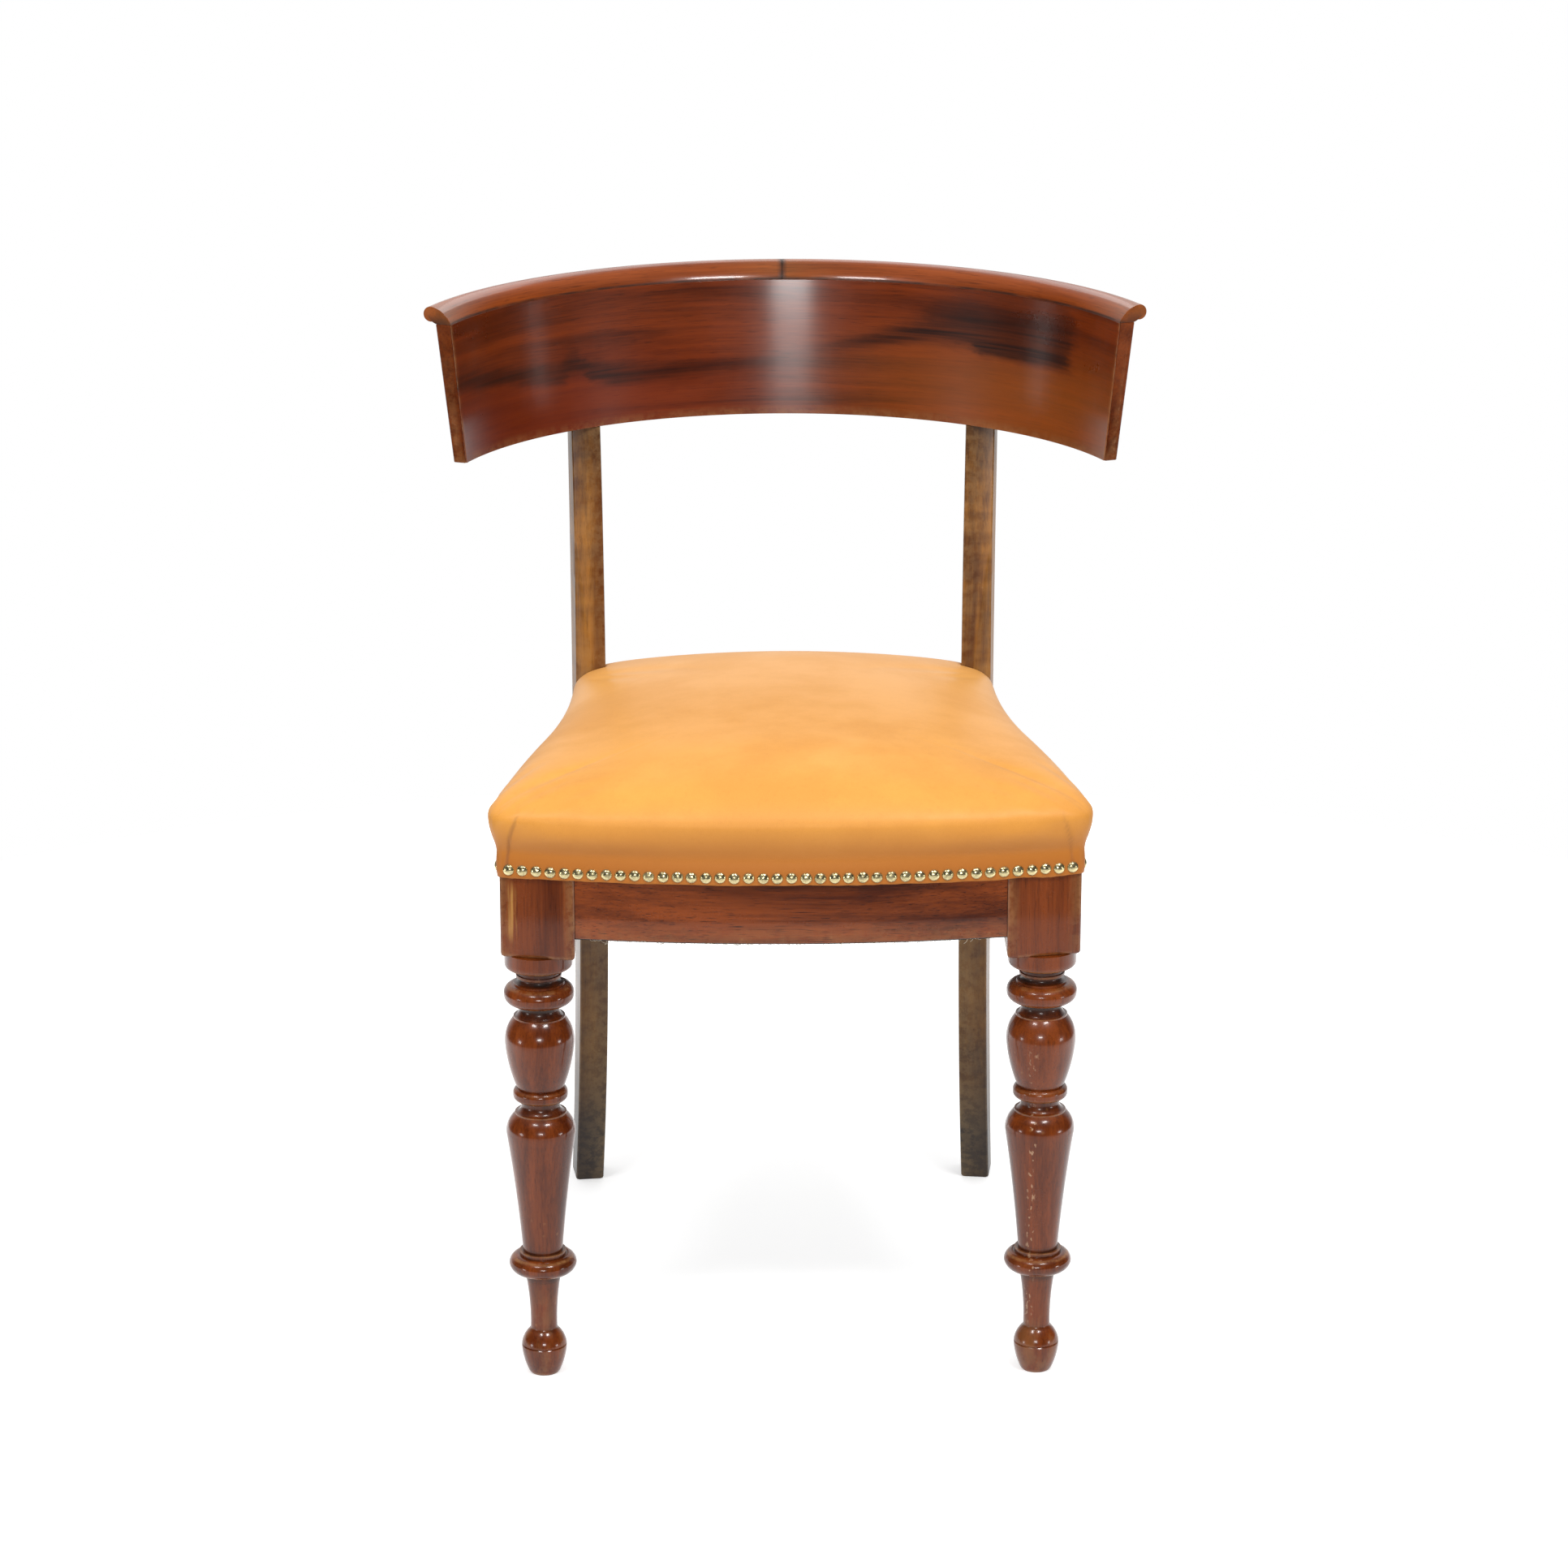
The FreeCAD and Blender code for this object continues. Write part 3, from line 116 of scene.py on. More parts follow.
# Crest rail
CREST_BOTTOM = 665.0
CREST_TOP = 774.0
CREST_RADIUS = 265.7
CREST_FLARE = 11.2
CREST_THICKNESS_LOW = 11.0
CREST_THICKNESS_HIGH = 13.0
CREST_HALF_ANGLE = math.radians(69.5)
CREST_CENTRE_Y = 140.3
VENEER = 1.0
ROLL_BEAD_RADIUS = 6.0
ROLL_HEIGHT = 13.5
ROLL_OVERHANG = 10.0

# Seat
SKIN = 1.4
STUFFING_BOTTOM = 429.8
SEAT_BULGE_Z = 455.0
SEAT_CROWN_Z = 489.0
SEAT_BULGE = 9.0
SEAT_BULGE_AT_POSTS = 1.0
SEAT_CROWN_INSET = 112.0
SEAT_FULLNESS = 2.0
SEAT_CROWN_EASE = 1.5
SEAT_DOME = 4.5                 # of the middle of the crown over its edge
SEAT_CORNER = 22.0
SEAT_CORNER_GROWTH = 38.0
NAIL_LINE_Z = 413.5
HEM_Z = 407.5
POST_GAP = 0.5

SIDES = ((-1, "left"), (1, "right"))


# Plan of the seat frame, shared by rails, leather, cloths and nails

def bow_y(x, grow=0.0):
    """Y of the bowed front at x."""
    return BOW_CENTRE_Y - math.sqrt((BOW_RADIUS + grow) ** 2 - x * x)


CORNER_Y = bow_y(FRONT_HALF_WIDTH)
HOLLOW_RUN = (POST_FRONT_Y - CORNER_Y) * SIDE_TURN_SHARE
SWELL_RUN = POST_FRONT_Y - CORNER_Y - HOLLOW_RUN
HOLLOW_RADIUS = ((HOLLOW_RUN ** 2 / 2 + HOLLOW_RUN * SWELL_RUN - SWELL_RUN ** 2 / 2 / SIDE_SWELL_RATIO)
                 / (FRONT_HALF_WIDTH - REAR_HALF_WIDTH))
HOLLOW_X = REAR_HALF_WIDTH + HOLLOW_RADIUS
TURN_ANGLE = math.asin(HOLLOW_RUN / HOLLOW_RADIUS)
TURN = np.array([HOLLOW_X - math.cos(TURN_ANGLE) * HOLLOW_RADIUS, POST_FRONT_Y - HOLLOW_RUN])
TURN_IN = np.array([-math.cos(TURN_ANGLE), -math.sin(TURN_ANGLE)])
TO_CORNER = np.array([FRONT_HALF_WIDTH, CORNER_Y]) - TURN
SWELL_RADIUS = TO_CORNER.dot(TO_CORNER) / (2 * TURN_IN.dot(TO_CORNER))
SWELL_CENTRE = TURN + TURN_IN * SWELL_RADIUS


def side_x(y, grow=0.0):
    """X of the serpentine right side at y."""
    if y >= POST_FRONT_Y:
        return REAR_HALF_WIDTH + grow
    if y >= TURN[1] - TURN_IN[1] * grow:
        return HOLLOW_X - math.sqrt((HOLLOW_RADIUS - grow) ** 2 - (y - POST_FRONT_Y) ** 2)
    return SWELL_CENTRE[0] + math.sqrt((SWELL_RADIUS + grow) ** 2 - (y - SWELL_CENTRE[1]) ** 2)


def side_out(y):
    """Direction square out of the right side at y."""
    step = 0.5
    along = np.array([side_x(y + step) - side_x(y - step), 2 * step])
    return np.array([along[1], -along[0], 0.0]) / np.linalg.norm(along)


def rounded_corner(before, corner, after):
    """Points of a round corner between two points at the same distance from it."""
    t = np.linspace(0, 1, 9)[:, None]
    weight = math.sqrt(0.5)
    share = (1 - t) ** 2 + 2 * weight * t * (1 - t) + t * t
    return ((1 - t) ** 2 * before + 2 * weight * t * (1 - t) * corner + t * t * after) / share


def resampled(points, count, crowd):
    """The polyline again with `count` steps, closer together near both ends where crowd is above 0."""
    lengths = np.concatenate([[0], np.cumsum(np.linalg.norm(np.diff(points, axis=0), axis=1))])
    t = np.linspace(0, 1, count + 1)
    t = t - crowd * np.sin(2 * math.pi * t) / (2 * math.pi)
    return np.stack([np.interp(t * lengths[-1], lengths, points[:, k]) for k in range(2)], axis=1)


def outline(grow, corner, rear_grow=None, counts=(64, 64), crowd=0.78):
    """Closed plan of the seat as a ring: front from left to right, right side, rear, left side."""
    rear_side = grow if rear_grow is None else rear_grow
    rear_y = REAR_RAIL_OUTER_Y + grow
    front_x = FRONT_HALF_WIDTH + grow
    for _ in range(12):
        front_x = side_x(bow_y(front_x, grow), grow)
    front_y = bow_y(front_x, grow)

    def side(y):
        share = min(1, max(0, (POST_FRONT_Y - y) / (POST_FRONT_Y - front_y)))
        return side_x(y, rear_side + (grow - rear_side) * share)

    front = np.array([[x, bow_y(x, grow)] for x in np.linspace(0, front_x, 160)])
    right = np.array([[side(y), y] for y in np.linspace(front_y, rear_y, 300)])
    rear = np.array([[x, rear_y] for x in np.linspace(right[-1][0], 0, 120)])

    def joined(first, second):
        """Two lines that meet in a corner, cut back and rounded. Also the corner's middle index."""
        tip = first[-1]
        first = first[np.linalg.norm(first - tip, axis=1) > corner]
        second = second[np.linalg.norm(second - tip, axis=1) > corner]
        bend = rounded_corner(first[-1], tip, second[0])
        return np.concatenate([first, bend[1:-1], second]), len(first) + 3

    half, turn = joined(front, right)
    whole, rear_turn = joined(half, rear)
    across, along = counts
    front_half = whole[:turn + 1]
    full_front = np.concatenate([front_half[::-1] * [-1, 1], front_half[1:]])
    ring_front = resampled(full_front, across, crowd)
    ring_right = resampled(whole[turn:rear_turn + 1], along, crowd)
    rear_half = whole[rear_turn:]
    full_rear = np.concatenate([rear_half, (rear_half * [-1, 1])[::-1][1:]])
    ring_rear = resampled(full_rear, across, crowd)
    ring_left = (ring_right * [-1, 1])[::-1]
    return np.concatenate([ring_front[:-1], ring_right[:-1], ring_rear[:-1], ring_left[:-1]])


def patch(ring, counts):
    """Points inside a ring as a grid that blends its four sides, row by row from the front."""
    across, along = counts
    front = ring[:across + 1]
    right = ring[across:across + along + 1]
    rear = ring[across + along:2 * across + along + 1][::-1]
    left = np.concatenate([ring[2 * across + along:], ring[:1]])[::-1]
    u = np.linspace(0, 1, across + 1)[None, :, None]
    v = np.linspace(0, 1, along + 1)[:, None, None]
    ruled = (1 - v) * front[None] + v * rear[None] + (1 - u) * left[:, None] + u * right[:, None]
    corners = ((1 - u) * (1 - v) * front[0] + u * (1 - v) * front[-1]
               + (1 - u) * v * rear[0] + u * v * rear[-1])
    return ruled - corners


def patch_faces(counts, ring_start, inner_start):
    """Quads that fill a ring: its own points round the edge and new ones inside."""
    across, along = counts
    total = 2 * (across + along)

    def index(i, j):
        if j == 0:
            return ring_start + i
        if i == across:
            return ring_start + across + j
        if j == along:
            return ring_start + across + along + (across - i)
        if i == 0:
            return ring_start + (total - j)
        return inner_start + (j - 1) * (across - 1) + (i - 1)

    return [(index(i, j), index(i + 1, j), index(i + 1, j + 1), index(i, j + 1))
            for j in range(along) for i in range(across)]


def clear_of_posts(points, gap):
    """Moves plan points out of the space that the posts need, to the nearer of its two walls."""
    out = points.copy()
    for sign in (-1, 1):
        x = sign * out[:, 0] - POST_CENTRE_X
        y = out[:, 1] - POST_FRONT_Y
        across = x * math.cos(POST_TOE) - y * math.sin(POST_TOE) + POST_HALF + gap
        travel = x * math.sin(POST_TOE) + y * math.cos(POST_TOE) + gap
        inside = (across > 0) & (travel > 0)
        step_across = np.where(across < travel, across, 0) * inside
        step_travel = np.where(across < travel, 0, travel) * inside
        out[:, 0] -= sign * (step_across * math.cos(POST_TOE) + step_travel * math.sin(POST_TOE))
        out[:, 1] -= -step_across * math.sin(POST_TOE) + step_travel * math.cos(POST_TOE)
    return out


# Meshes

def place(points):
    """Bench millimetres to metres in the chair's frame."""
    return (np.asarray(points, float) - [0, ORIGIN_Y, 0]) * MM


def new_object(name, mesh):
    obj = bpy.data.objects.new(name, mesh)
    bpy.context.scene.collection.objects.link(obj)
    return obj


def new_mesh(name, points, faces=(), edges=(), **attributes):
    mesh = bpy.data.meshes.new(name)
    mesh.from_pydata([tuple(p) for p in points], list(edges), [tuple(f) for f in faces])
    for key, values in attributes.items():
        values = np.asarray(values, float)
        kind = "FLOAT" if values.ndim == 1 else "FLOAT_VECTOR"
        layer = mesh.attributes.new(key, kind, "POINT")
        layer.data.foreach_set("value" if values.ndim == 1 else "vector", values.ravel())
    return mesh


def tidy(mesh, smooth_angle=35, close=False, outward=True):
    """Doubles merged, open ends closed, faces outwards, smooth shading between soft edges."""
    bm = bmesh.new()
    bm.from_mesh(mesh)
    bmesh.ops.remove_doubles(bm, verts=bm.verts, dist=2e-6)
    if close:
        bmesh.ops.holes_fill(bm, edges=[e for e in bm.edges if e.is_boundary])
    if outward:
        bmesh.ops.recalc_face_normals(bm, faces=bm.faces)
    bm.to_mesh(mesh)
    bm.free()
    mesh.shade_smooth()
    mesh.set_sharp_from_angle(angle=math.radians(smooth_angle))
    return mesh


def lofted(name, rings, wear=None, smooth_angle=35):
    """Closed solid through rings of points, with flat ends. wear is one value for each ring point."""
    rings = np.asarray(rings, float)
    count, size = rings.shape[:2]
    faces = [(i * size + k, i * size + (k + 1) % size, (i + 1) * size + (k + 1) % size, (i + 1) * size + k)
             for i in range(count - 1) for k in range(size)]
    faces += [tuple(range(size)), tuple(range((count - 1) * size, count * size))]
    worn = np.tile(wear if wear is not None else np.zeros(size), count)
    return tidy(new_mesh(name, place(rings.reshape(-1, 3)), faces, wear=worn), smooth_angle)


def round_section(width, height, radius, steps=3, flat_steps=4):
    """Rounded rectangle as points and a mask that is 1 on its round corners."""
    bends = []
    for cx, cy, start in ((width - radius, height - radius, 0), (radius, height - radius, 90),
                          (radius, radius, 180), (width - radius, radius, 270)):
        angles = [math.radians(start + 90 * k / steps) for k in range(steps + 1)]
        bends.append([np.array([cx + radius * math.cos(a), cy + radius * math.sin(a)]) for a in angles])
    points, mask = [], []
    for bend, after in zip(bends, bends[1:] + bends[:1]):
        flat = after[0] - bend[-1]
        points += bend + [bend[-1] + flat * (k / flat_steps) for k in range(1, flat_steps)]
        mask += [1.0] * len(bend) + [0.0] * (flat_steps - 1)
    return np.array(points), np.array(mask)


def rail_rings(outers, inners):
    """Rings of an upright seat rail between outer and inner plan points."""
    rings = []
    for outer, inner in zip(outers, inners):
        outer, inner = np.array(outer), np.array(inner)
        thickness = np.linalg.norm(inner - outer)
        section, mask = round_section(thickness, RAIL_TOP - RAIL_BOTTOM, ARRIS)
        into = (inner - outer) / thickness
        rings.append([[*(outer + into * s), RAIL_BOTTOM + h] for s, h in section])
    return rings, mask


def arc_points(a, b, c, step=0.8):
    """Points after a on the circle through three points, up to c."""
    (ax, ay), (bx, by), (cx, cy) = a, b, c
    d = 2 * (ax * (by - cy) + bx * (cy - ay) + cx * (ay - by))
    if abs(d) < 1e-6:
        return [np.array(a) + (np.array(c) - np.array(a)) * t for t in np.linspace(0, 1, 9)[1:]]
    ux = ((ax * ax + ay * ay) * (by - cy) + (bx * bx + by * by) * (cy - ay)
          + (cx * cx + cy * cy) * (ay - by)) / d
    uy = ((ax * ax + ay * ay) * (cx - bx) + (bx * bx + by * by) * (ax - cx)
          + (cx * cx + cy * cy) * (bx - ax)) / d
    centre = np.array([ux, uy])
    radius = np.linalg.norm(np.array(a) - centre)
    start, mid, stop = (math.atan2(p[1] - uy, p[0] - ux) for p in (a, b, c))
    sweep = (stop - start) % (2 * math.pi)
    if (mid - start) % (2 * math.pi) > sweep:
        sweep -= 2 * math.pi
    count = max(3, int(abs(sweep) * radius / step))
    angles = [start + sweep * k / count for k in range(1, count + 1)]
    return [centre + radius * np.array([math.cos(angle), math.sin(angle)]) for angle in angles]


# Node trees

def put(tree, kind, sources=None, out=0, **settings):
    """Adds a node, sets it, wires or fills its inputs, and returns one of its outputs."""
    node = tree.nodes.new(kind)
    for key, value in settings.items():
        setattr(node, key, value)
    for key, value in (sources or {}).items():
        named = [s for s in node.inputs if s.name == key and s.enabled] if isinstance(key, str) else None
        socket = named[0] if named else node.inputs[key]
        if isinstance(value, bpy.types.NodeSocket):
            tree.links.new(value, socket)
        else:
            socket.default_value = value
    if isinstance(out, str):
        return next(s for s in node.outputs if s.name == out and s.enabled)
    return node.outputs[out] if node.outputs else node


def calc(tree, operation, a, b=0.0, c=None, clamp=False):
    sources = {0: a, 1: b} if c is None else {0: a, 1: b, 2: c}
    return put(tree, "ShaderNodeMath", sources, operation=operation, use_clamp=clamp)


def times(tree, a, b, clamp=False):
    return calc(tree, "MULTIPLY", a, b, clamp=clamp)


def plus(tree, a, b, clamp=False):
    return calc(tree, "ADD", a, b, clamp=clamp)


def minus(tree, a, b, clamp=False):
    return calc(tree, "SUBTRACT", a, b, clamp=clamp)


def times_plus(tree, a, b, c, clamp=False):
    """a times b, plus c."""
    return calc(tree, "MULTIPLY_ADD", a, b, c, clamp)


def vector_calc(tree, operation, a, b):
    return put(tree, "ShaderNodeVectorMath", {0: a, 1: b}, operation=operation)


def remap(tree, value, low, high, to_low=0.0, to_high=1.0):
    return put(tree, "ShaderNodeMapRange", {0: value, 1: low, 2: high, 3: to_low, 4: to_high},
               interpolation_type="SMOOTHSTEP")


def mix_colour(tree, share, a, b):
    return put(tree, "ShaderNodeMix", {0: share, 6: a, 7: b}, out=2, data_type="RGBA")


def clouds(tree, vector, scale, detail=3.0, roughness=0.5, out=0):
    return put(tree, "ShaderNodeTexNoise", {"Vector": vector, "Scale": scale, "Detail": detail,
                                            "Roughness": roughness}, out=out)


def stretched(tree, vector, factors):
    return vector_calc(tree, "MULTIPLY", vector, factors)


def streaks(tree, vector, factors, detail=3.0, roughness=0.5, out=0):
    """Clouds with so many spots in a metre along X, Y and Z."""
    return clouds(tree, stretched(tree, vector, factors), 1.0, detail, roughness, out)


def split(tree, vector):
    return put(tree, "ShaderNodeSeparateXYZ", {0: vector}).node.outputs


def merged(tree, x, y, z):
    return put(tree, "ShaderNodeCombineXYZ", {0: x, 1: y, 2: z})


def new_group(name, kind, inputs, outputs):
    """Node group with named sockets. Returns it with its inputs by name and its output node."""
    group = bpy.data.node_groups.new(name, kind)
    for label, socket, default in inputs:
        made = group.interface.new_socket(label, in_out="INPUT", socket_type="NodeSocket" + socket)
        if default is not None:
            made.default_value = default
    for label, socket in outputs:
        group.interface.new_socket(label, in_out="OUTPUT", socket_type="NodeSocket" + socket)
    entry = group.nodes.new("NodeGroupInput")
    leave = group.nodes.new("NodeGroupOutput")
    return group, {s.name: s for s in entry.outputs if s.name}, leave


def close_group(tree, leave, *results):
    """Wires the results to the group's outputs, in order."""
    for socket, result in zip(leave.inputs, results):
        tree.links.new(result, socket)
    return tree


def close_pieces(tree, leave, geometry, finish):
    """Ends a geometry tree with real pieces in their finish."""
    real = put(tree, "GeometryNodeRealizeInstances", {0: geometry})
    done = put(tree, "GeometryNodeSetMaterial", {"Geometry": real, "Material": finish})
    return close_group(tree, leave, done)


def store(tree, geometry, name, value, kind="FLOAT"):
    """Writes an attribute on the points of a geometry."""
    return put(tree, "GeometryNodeStoreNamedAttribute", {"Geometry": geometry, "Name": name, "Value": value},
               data_type=kind, domain="POINT")


def stored_before(tree, name, kind="FLOAT"):
    return put(tree, "GeometryNodeInputNamedAttribute", {"Name": name}, data_type=kind)


def chance(tree, least, most, seed, kind="FLOAT"):
    """A random value for each point."""
    return put(tree, "FunctionNodeRandomValue", {"Min": least, "Max": most, "Seed": seed}, out="Value",
               data_type=kind)


def use_group(tree, group, sources):
    """Places a shader group in a material and returns its outputs by name."""
    node = tree.nodes.new("ShaderNodeGroup")
    node.node_tree = group
    for key, value in sources.items():
        if isinstance(value, bpy.types.NodeSocket):
            tree.links.new(value, node.inputs[key])
        else:
            node.inputs[key].default_value = value
    return node.outputs


def spin_tree():
    """Spins a profile mesh (X radius, Z height) about an upright axis into a smooth surface."""
    tree, given, leave = new_group("Spin profile", "GeometryNodeTree", [
        ("Profile", "Geometry", None), ("Centre", "Vector", (0, 0, 0)), ("Start", "Float", 0.0),
        ("Sweep", "Float", 2 * math.pi), ("Segments", "Int", 64), ("Closed", "Bool", False),
        ("Grain Radius", "Float", 0.1), ("Finish", "Material", None)], [("Geometry", "Geometry")])
    count = put(tree, "GeometryNodeAttributeDomainSize", {0: given["Profile"]}, component="MESH")
    rows = plus(tree, count, given["Closed"])
    grid = put(tree, "GeometryNodeMeshGrid", {0: 1.0, 1: 1.0, 2: plus(tree, given["Segments"], 1), 3: rows})
    place_in_grid = split(tree, put(tree, "GeometryNodeInputPosition"))
    share = plus(tree, place_in_grid[0], 0.5)
    row = times(tree, plus(tree, place_in_grid[1], 0.5), minus(tree, rows, 1))
    index = put(tree, "FunctionNodeFloatToInt",
                {0: calc(tree, "MODULO", calc(tree, "ROUND", row), count)}, rounding_mode="ROUND")

    def from_profile(kind, value):
        return put(tree, "GeometryNodeSampleIndex",
                   {"Geometry": given["Profile"], "Value": value, "Index": index},
                   data_type=kind, domain="POINT")

    point = split(tree, from_profile("FLOAT_VECTOR", put(tree, "GeometryNodeInputPosition")))
    arc = times(tree, times(tree, minus(tree, 0.5, share), given["Sweep"]), given["Grain Radius"])
    stored = store(tree, grid, "grain", merged(tree, arc, point[2], point[0]), "FLOAT_VECTOR")
    for label in ("wear", "recess"):
        stored = store(tree, stored, label, from_profile("FLOAT", stored_before(tree, label)))
    angle = times_plus(tree, share, given["Sweep"], given["Start"])
    spun = merged(tree, times(tree, point[0], calc(tree, "COSINE", angle)),
                  times(tree, point[0], calc(tree, "SINE", angle)), point[2])
    moved = put(tree, "GeometryNodeSetPosition",
                {"Geometry": stored, "Position": vector_calc(tree, "ADD", spun, given["Centre"])})
    welded = put(tree, "GeometryNodeMergeByDistance", {"Geometry": moved, "Distance": 2e-6})
    return close_pieces(tree, leave, welded, given["Finish"])


def stud_tree():
    """Domed heads on points, each turned, tilted and sized a little differently."""
    tree, given, leave = new_group("Studs on points", "GeometryNodeTree", [
        ("Points", "Geometry", None), ("Head Radius", "Float", 0.005), ("Head Height", "Float", 0.003),
        ("Segments", "Int", 12), ("Rings", "Int", 8), ("Tilt", "Float", 0.05), ("Variation", "Float", 0.03),
        ("Seed", "Int", 1), ("Finish", "Material", None)], [("Geometry", "Geometry")])
    ball = put(tree, "GeometryNodeMeshUVSphere",
               {"Segments": given["Segments"], "Rings": given["Rings"], "Radius": 1.0})
    at = split(tree, put(tree, "GeometryNodeInputPosition"))
    rim = minus(tree, 1.0, at[2], clamp=True)
    marked = store(tree, ball, "rim", rim)
    dome = merged(tree, times(tree, at[0], given["Head Radius"]), times(tree, at[1], given["Head Radius"]),
                  times(tree, calc(tree, "MAXIMUM", at[2], 0.0), given["Head Height"]))
    head = put(tree, "GeometryNodeSetPosition", {"Geometry": marked, "Position": dome})
    out = stored_before(tree, "out", "FLOAT_VECTOR")
    aligned = put(tree, "FunctionNodeAlignRotationToVector", {"Vector": out}, axis="Z")
    tilt = given["Tilt"]
    most = merged(tree, tilt, tilt, math.pi)
    least = vector_calc(tree, "MULTIPLY", most, (-1, -1, -1))
    turn = chance(tree, least, most, given["Seed"], "FLOAT_VECTOR")
    rotation = put(tree, "FunctionNodeRotateRotation",
                   {"Rotation": aligned, "Rotate By": put(tree, "FunctionNodeEulerToRotation", {0: turn})},
                   rotation_space="LOCAL")
    size = chance(tree, minus(tree, 1.0, given["Variation"]), 1.0, plus(tree, given["Seed"], 7))
    studs = put(tree, "GeometryNodeInstanceOnPoints",
                {"Points": given["Points"], "Instance": head, "Rotation": rotation, "Scale": size})
    return close_pieces(tree, leave, studs, given["Finish"])


def thread_tree():
    """Short bent threads on points, hanging and turned at random."""
    tree, given, leave = new_group("Loose threads", "GeometryNodeTree", [
        ("Points", "Geometry", None), ("Length", "Float", 0.005), ("Thickness", "Float", 0.0002),
        ("Seed", "Int", 3), ("Finish", "Material", None)], [("Geometry", "Geometry")])
    length = given["Length"]
    middle = merged(tree, times(tree, length, 0.5), 0.0, times(tree, length, -0.3))
    end = merged(tree, length, times(tree, length, 0.2), times(tree, length, 0.1))
    line = put(tree, "GeometryNodeCurveQuadraticBezier",
               {"Resolution": 5, "Start": (0, 0, 0), "Middle": middle, "End": end})
    loop = put(tree, "GeometryNodeCurvePrimitiveCircle", {"Resolution": 4, "Radius": given["Thickness"]})
    tube = put(tree, "GeometryNodeCurveToMesh", {"Curve": line, "Profile Curve": loop, "Fill Caps": True})
    turn = chance(tree, (-0.25, -0.3, 0.0), (0.25, 0.7, 2 * math.pi), given["Seed"], "FLOAT_VECTOR")
    size = chance(tree, 0.3, 1.0, given["Seed"])
    threads = put(tree, "GeometryNodeInstanceOnPoints",
                  {"Points": given["Points"], "Instance": tube,
                   "Rotation": put(tree, "FunctionNodeEulerToRotation", {0: turn}), "Scale": size})
    return close_pieces(tree, leave, threads, given["Finish"])


def grown(name, base, tree, values):
    """Runs a geometry tree on a base mesh and returns the result as a plain mesh."""
    carrier = new_object(name + "_base", base)
    modifier = carrier.modifiers.new(tree.name, "NODES")
    modifier.node_group = tree
    for item in tree.interface.items_tree:
        if item.item_type == "SOCKET" and item.in_out == "INPUT" and item.name in values:
            modifier[item.identifier] = values[item.name]
    graph = bpy.context.evaluated_depsgraph_get()
    mesh = bpy.data.meshes.new_from_object(carrier.evaluated_get(graph), preserve_all_data_layers=True,
                                           depsgraph=graph)
    bpy.data.objects.remove(carrier)
    mesh.name = name
    if not mesh.polygons:
        raise RuntimeError(name + ": its geometry tree made no faces")
    return mesh


def covered(mesh, material):
    """Gives a mesh one material."""
    mesh.materials.clear()
    mesh.materials.append(material)


def finished(obj, material=None, nodes=()):
    """Gives a piece its finish, its slot and its body, and hides the nodes that it stands for."""
    if material is not None:
        covered(obj.data, material)
    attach(obj, "root")
    if nodes:
        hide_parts(*nodes)
    return obj


# Shader groups

def figure_group():
    """Wood along the X of its coordinates: fibres, bands, soft clouds, ripples and pores."""
    group, given, leave = new_group("Wood figure", "ShaderNodeTree", [
        ("Coordinates", "Vector", None), ("Pale", "Color", (0.3, 0.12, 0.04, 1)),
        ("Dark", "Color", (0.05, 0.015, 0.006, 1)), ("Fibre", "Float", 1.0), ("Contrast", "Float", 1.0),
        ("Ripple", "Float", 0.0), ("Pores", "Float", 0.5), ("Seed", "Float", 0.0)],
        [("Color", "Color"), ("Gloss", "Float"), ("Height", "Float")])
    seed = merged(group, given["Seed"], given["Seed"], given["Seed"])
    start = vector_calc(group, "ADD", given["Coordinates"], seed)
    warp = streaks(group, start, (3.0, 9.0, 9.0), 2.0, out=1)
    warped = vector_calc(group, "ADD", start, stretched(group, warp, (0.05, 0.022, 0.022)))
    fine = put(group, "ShaderNodeVectorMath", {0: warped, "Scale": given["Fibre"]}, operation="SCALE")
    fibres = streaks(group, fine, (14, 620, 620), 4.0, 0.6)
    bands = streaks(group, fine, (3.2, 95, 95), 4.0, 0.55)
    soft = streaks(group, warped, (5, 19, 19), 3.0)
    ripple = streaks(group, warped, (75, 16, 16), 2.0)
    tone = times_plus(group, fibres, 0.22, times(group, bands, 0.43))
    tone = times_plus(group, soft, 0.35, tone)
    tone = times_plus(group, minus(group, tone, 0.5), given["Contrast"], 0.5)
    tone = times_plus(group, minus(group, ripple, 0.5), given["Ripple"], tone)
    tone = remap(group, tone, 0.3, 0.7)
    wood = mix_colour(group, tone, given["Dark"], given["Pale"])
    pores = remap(group, streaks(group, start, (60, 1500, 1500), 1.0), 0.6, 0.72)
    pores = times(group, pores, given["Pores"])
    wood = mix_colour(group, pores, wood, stretched(group, given["Dark"], (0.45, 0.45, 0.45)))
    height = minus(group, times(group, fibres, 0.4), pores)
    return close_group(group, leave, wood, soft, height)


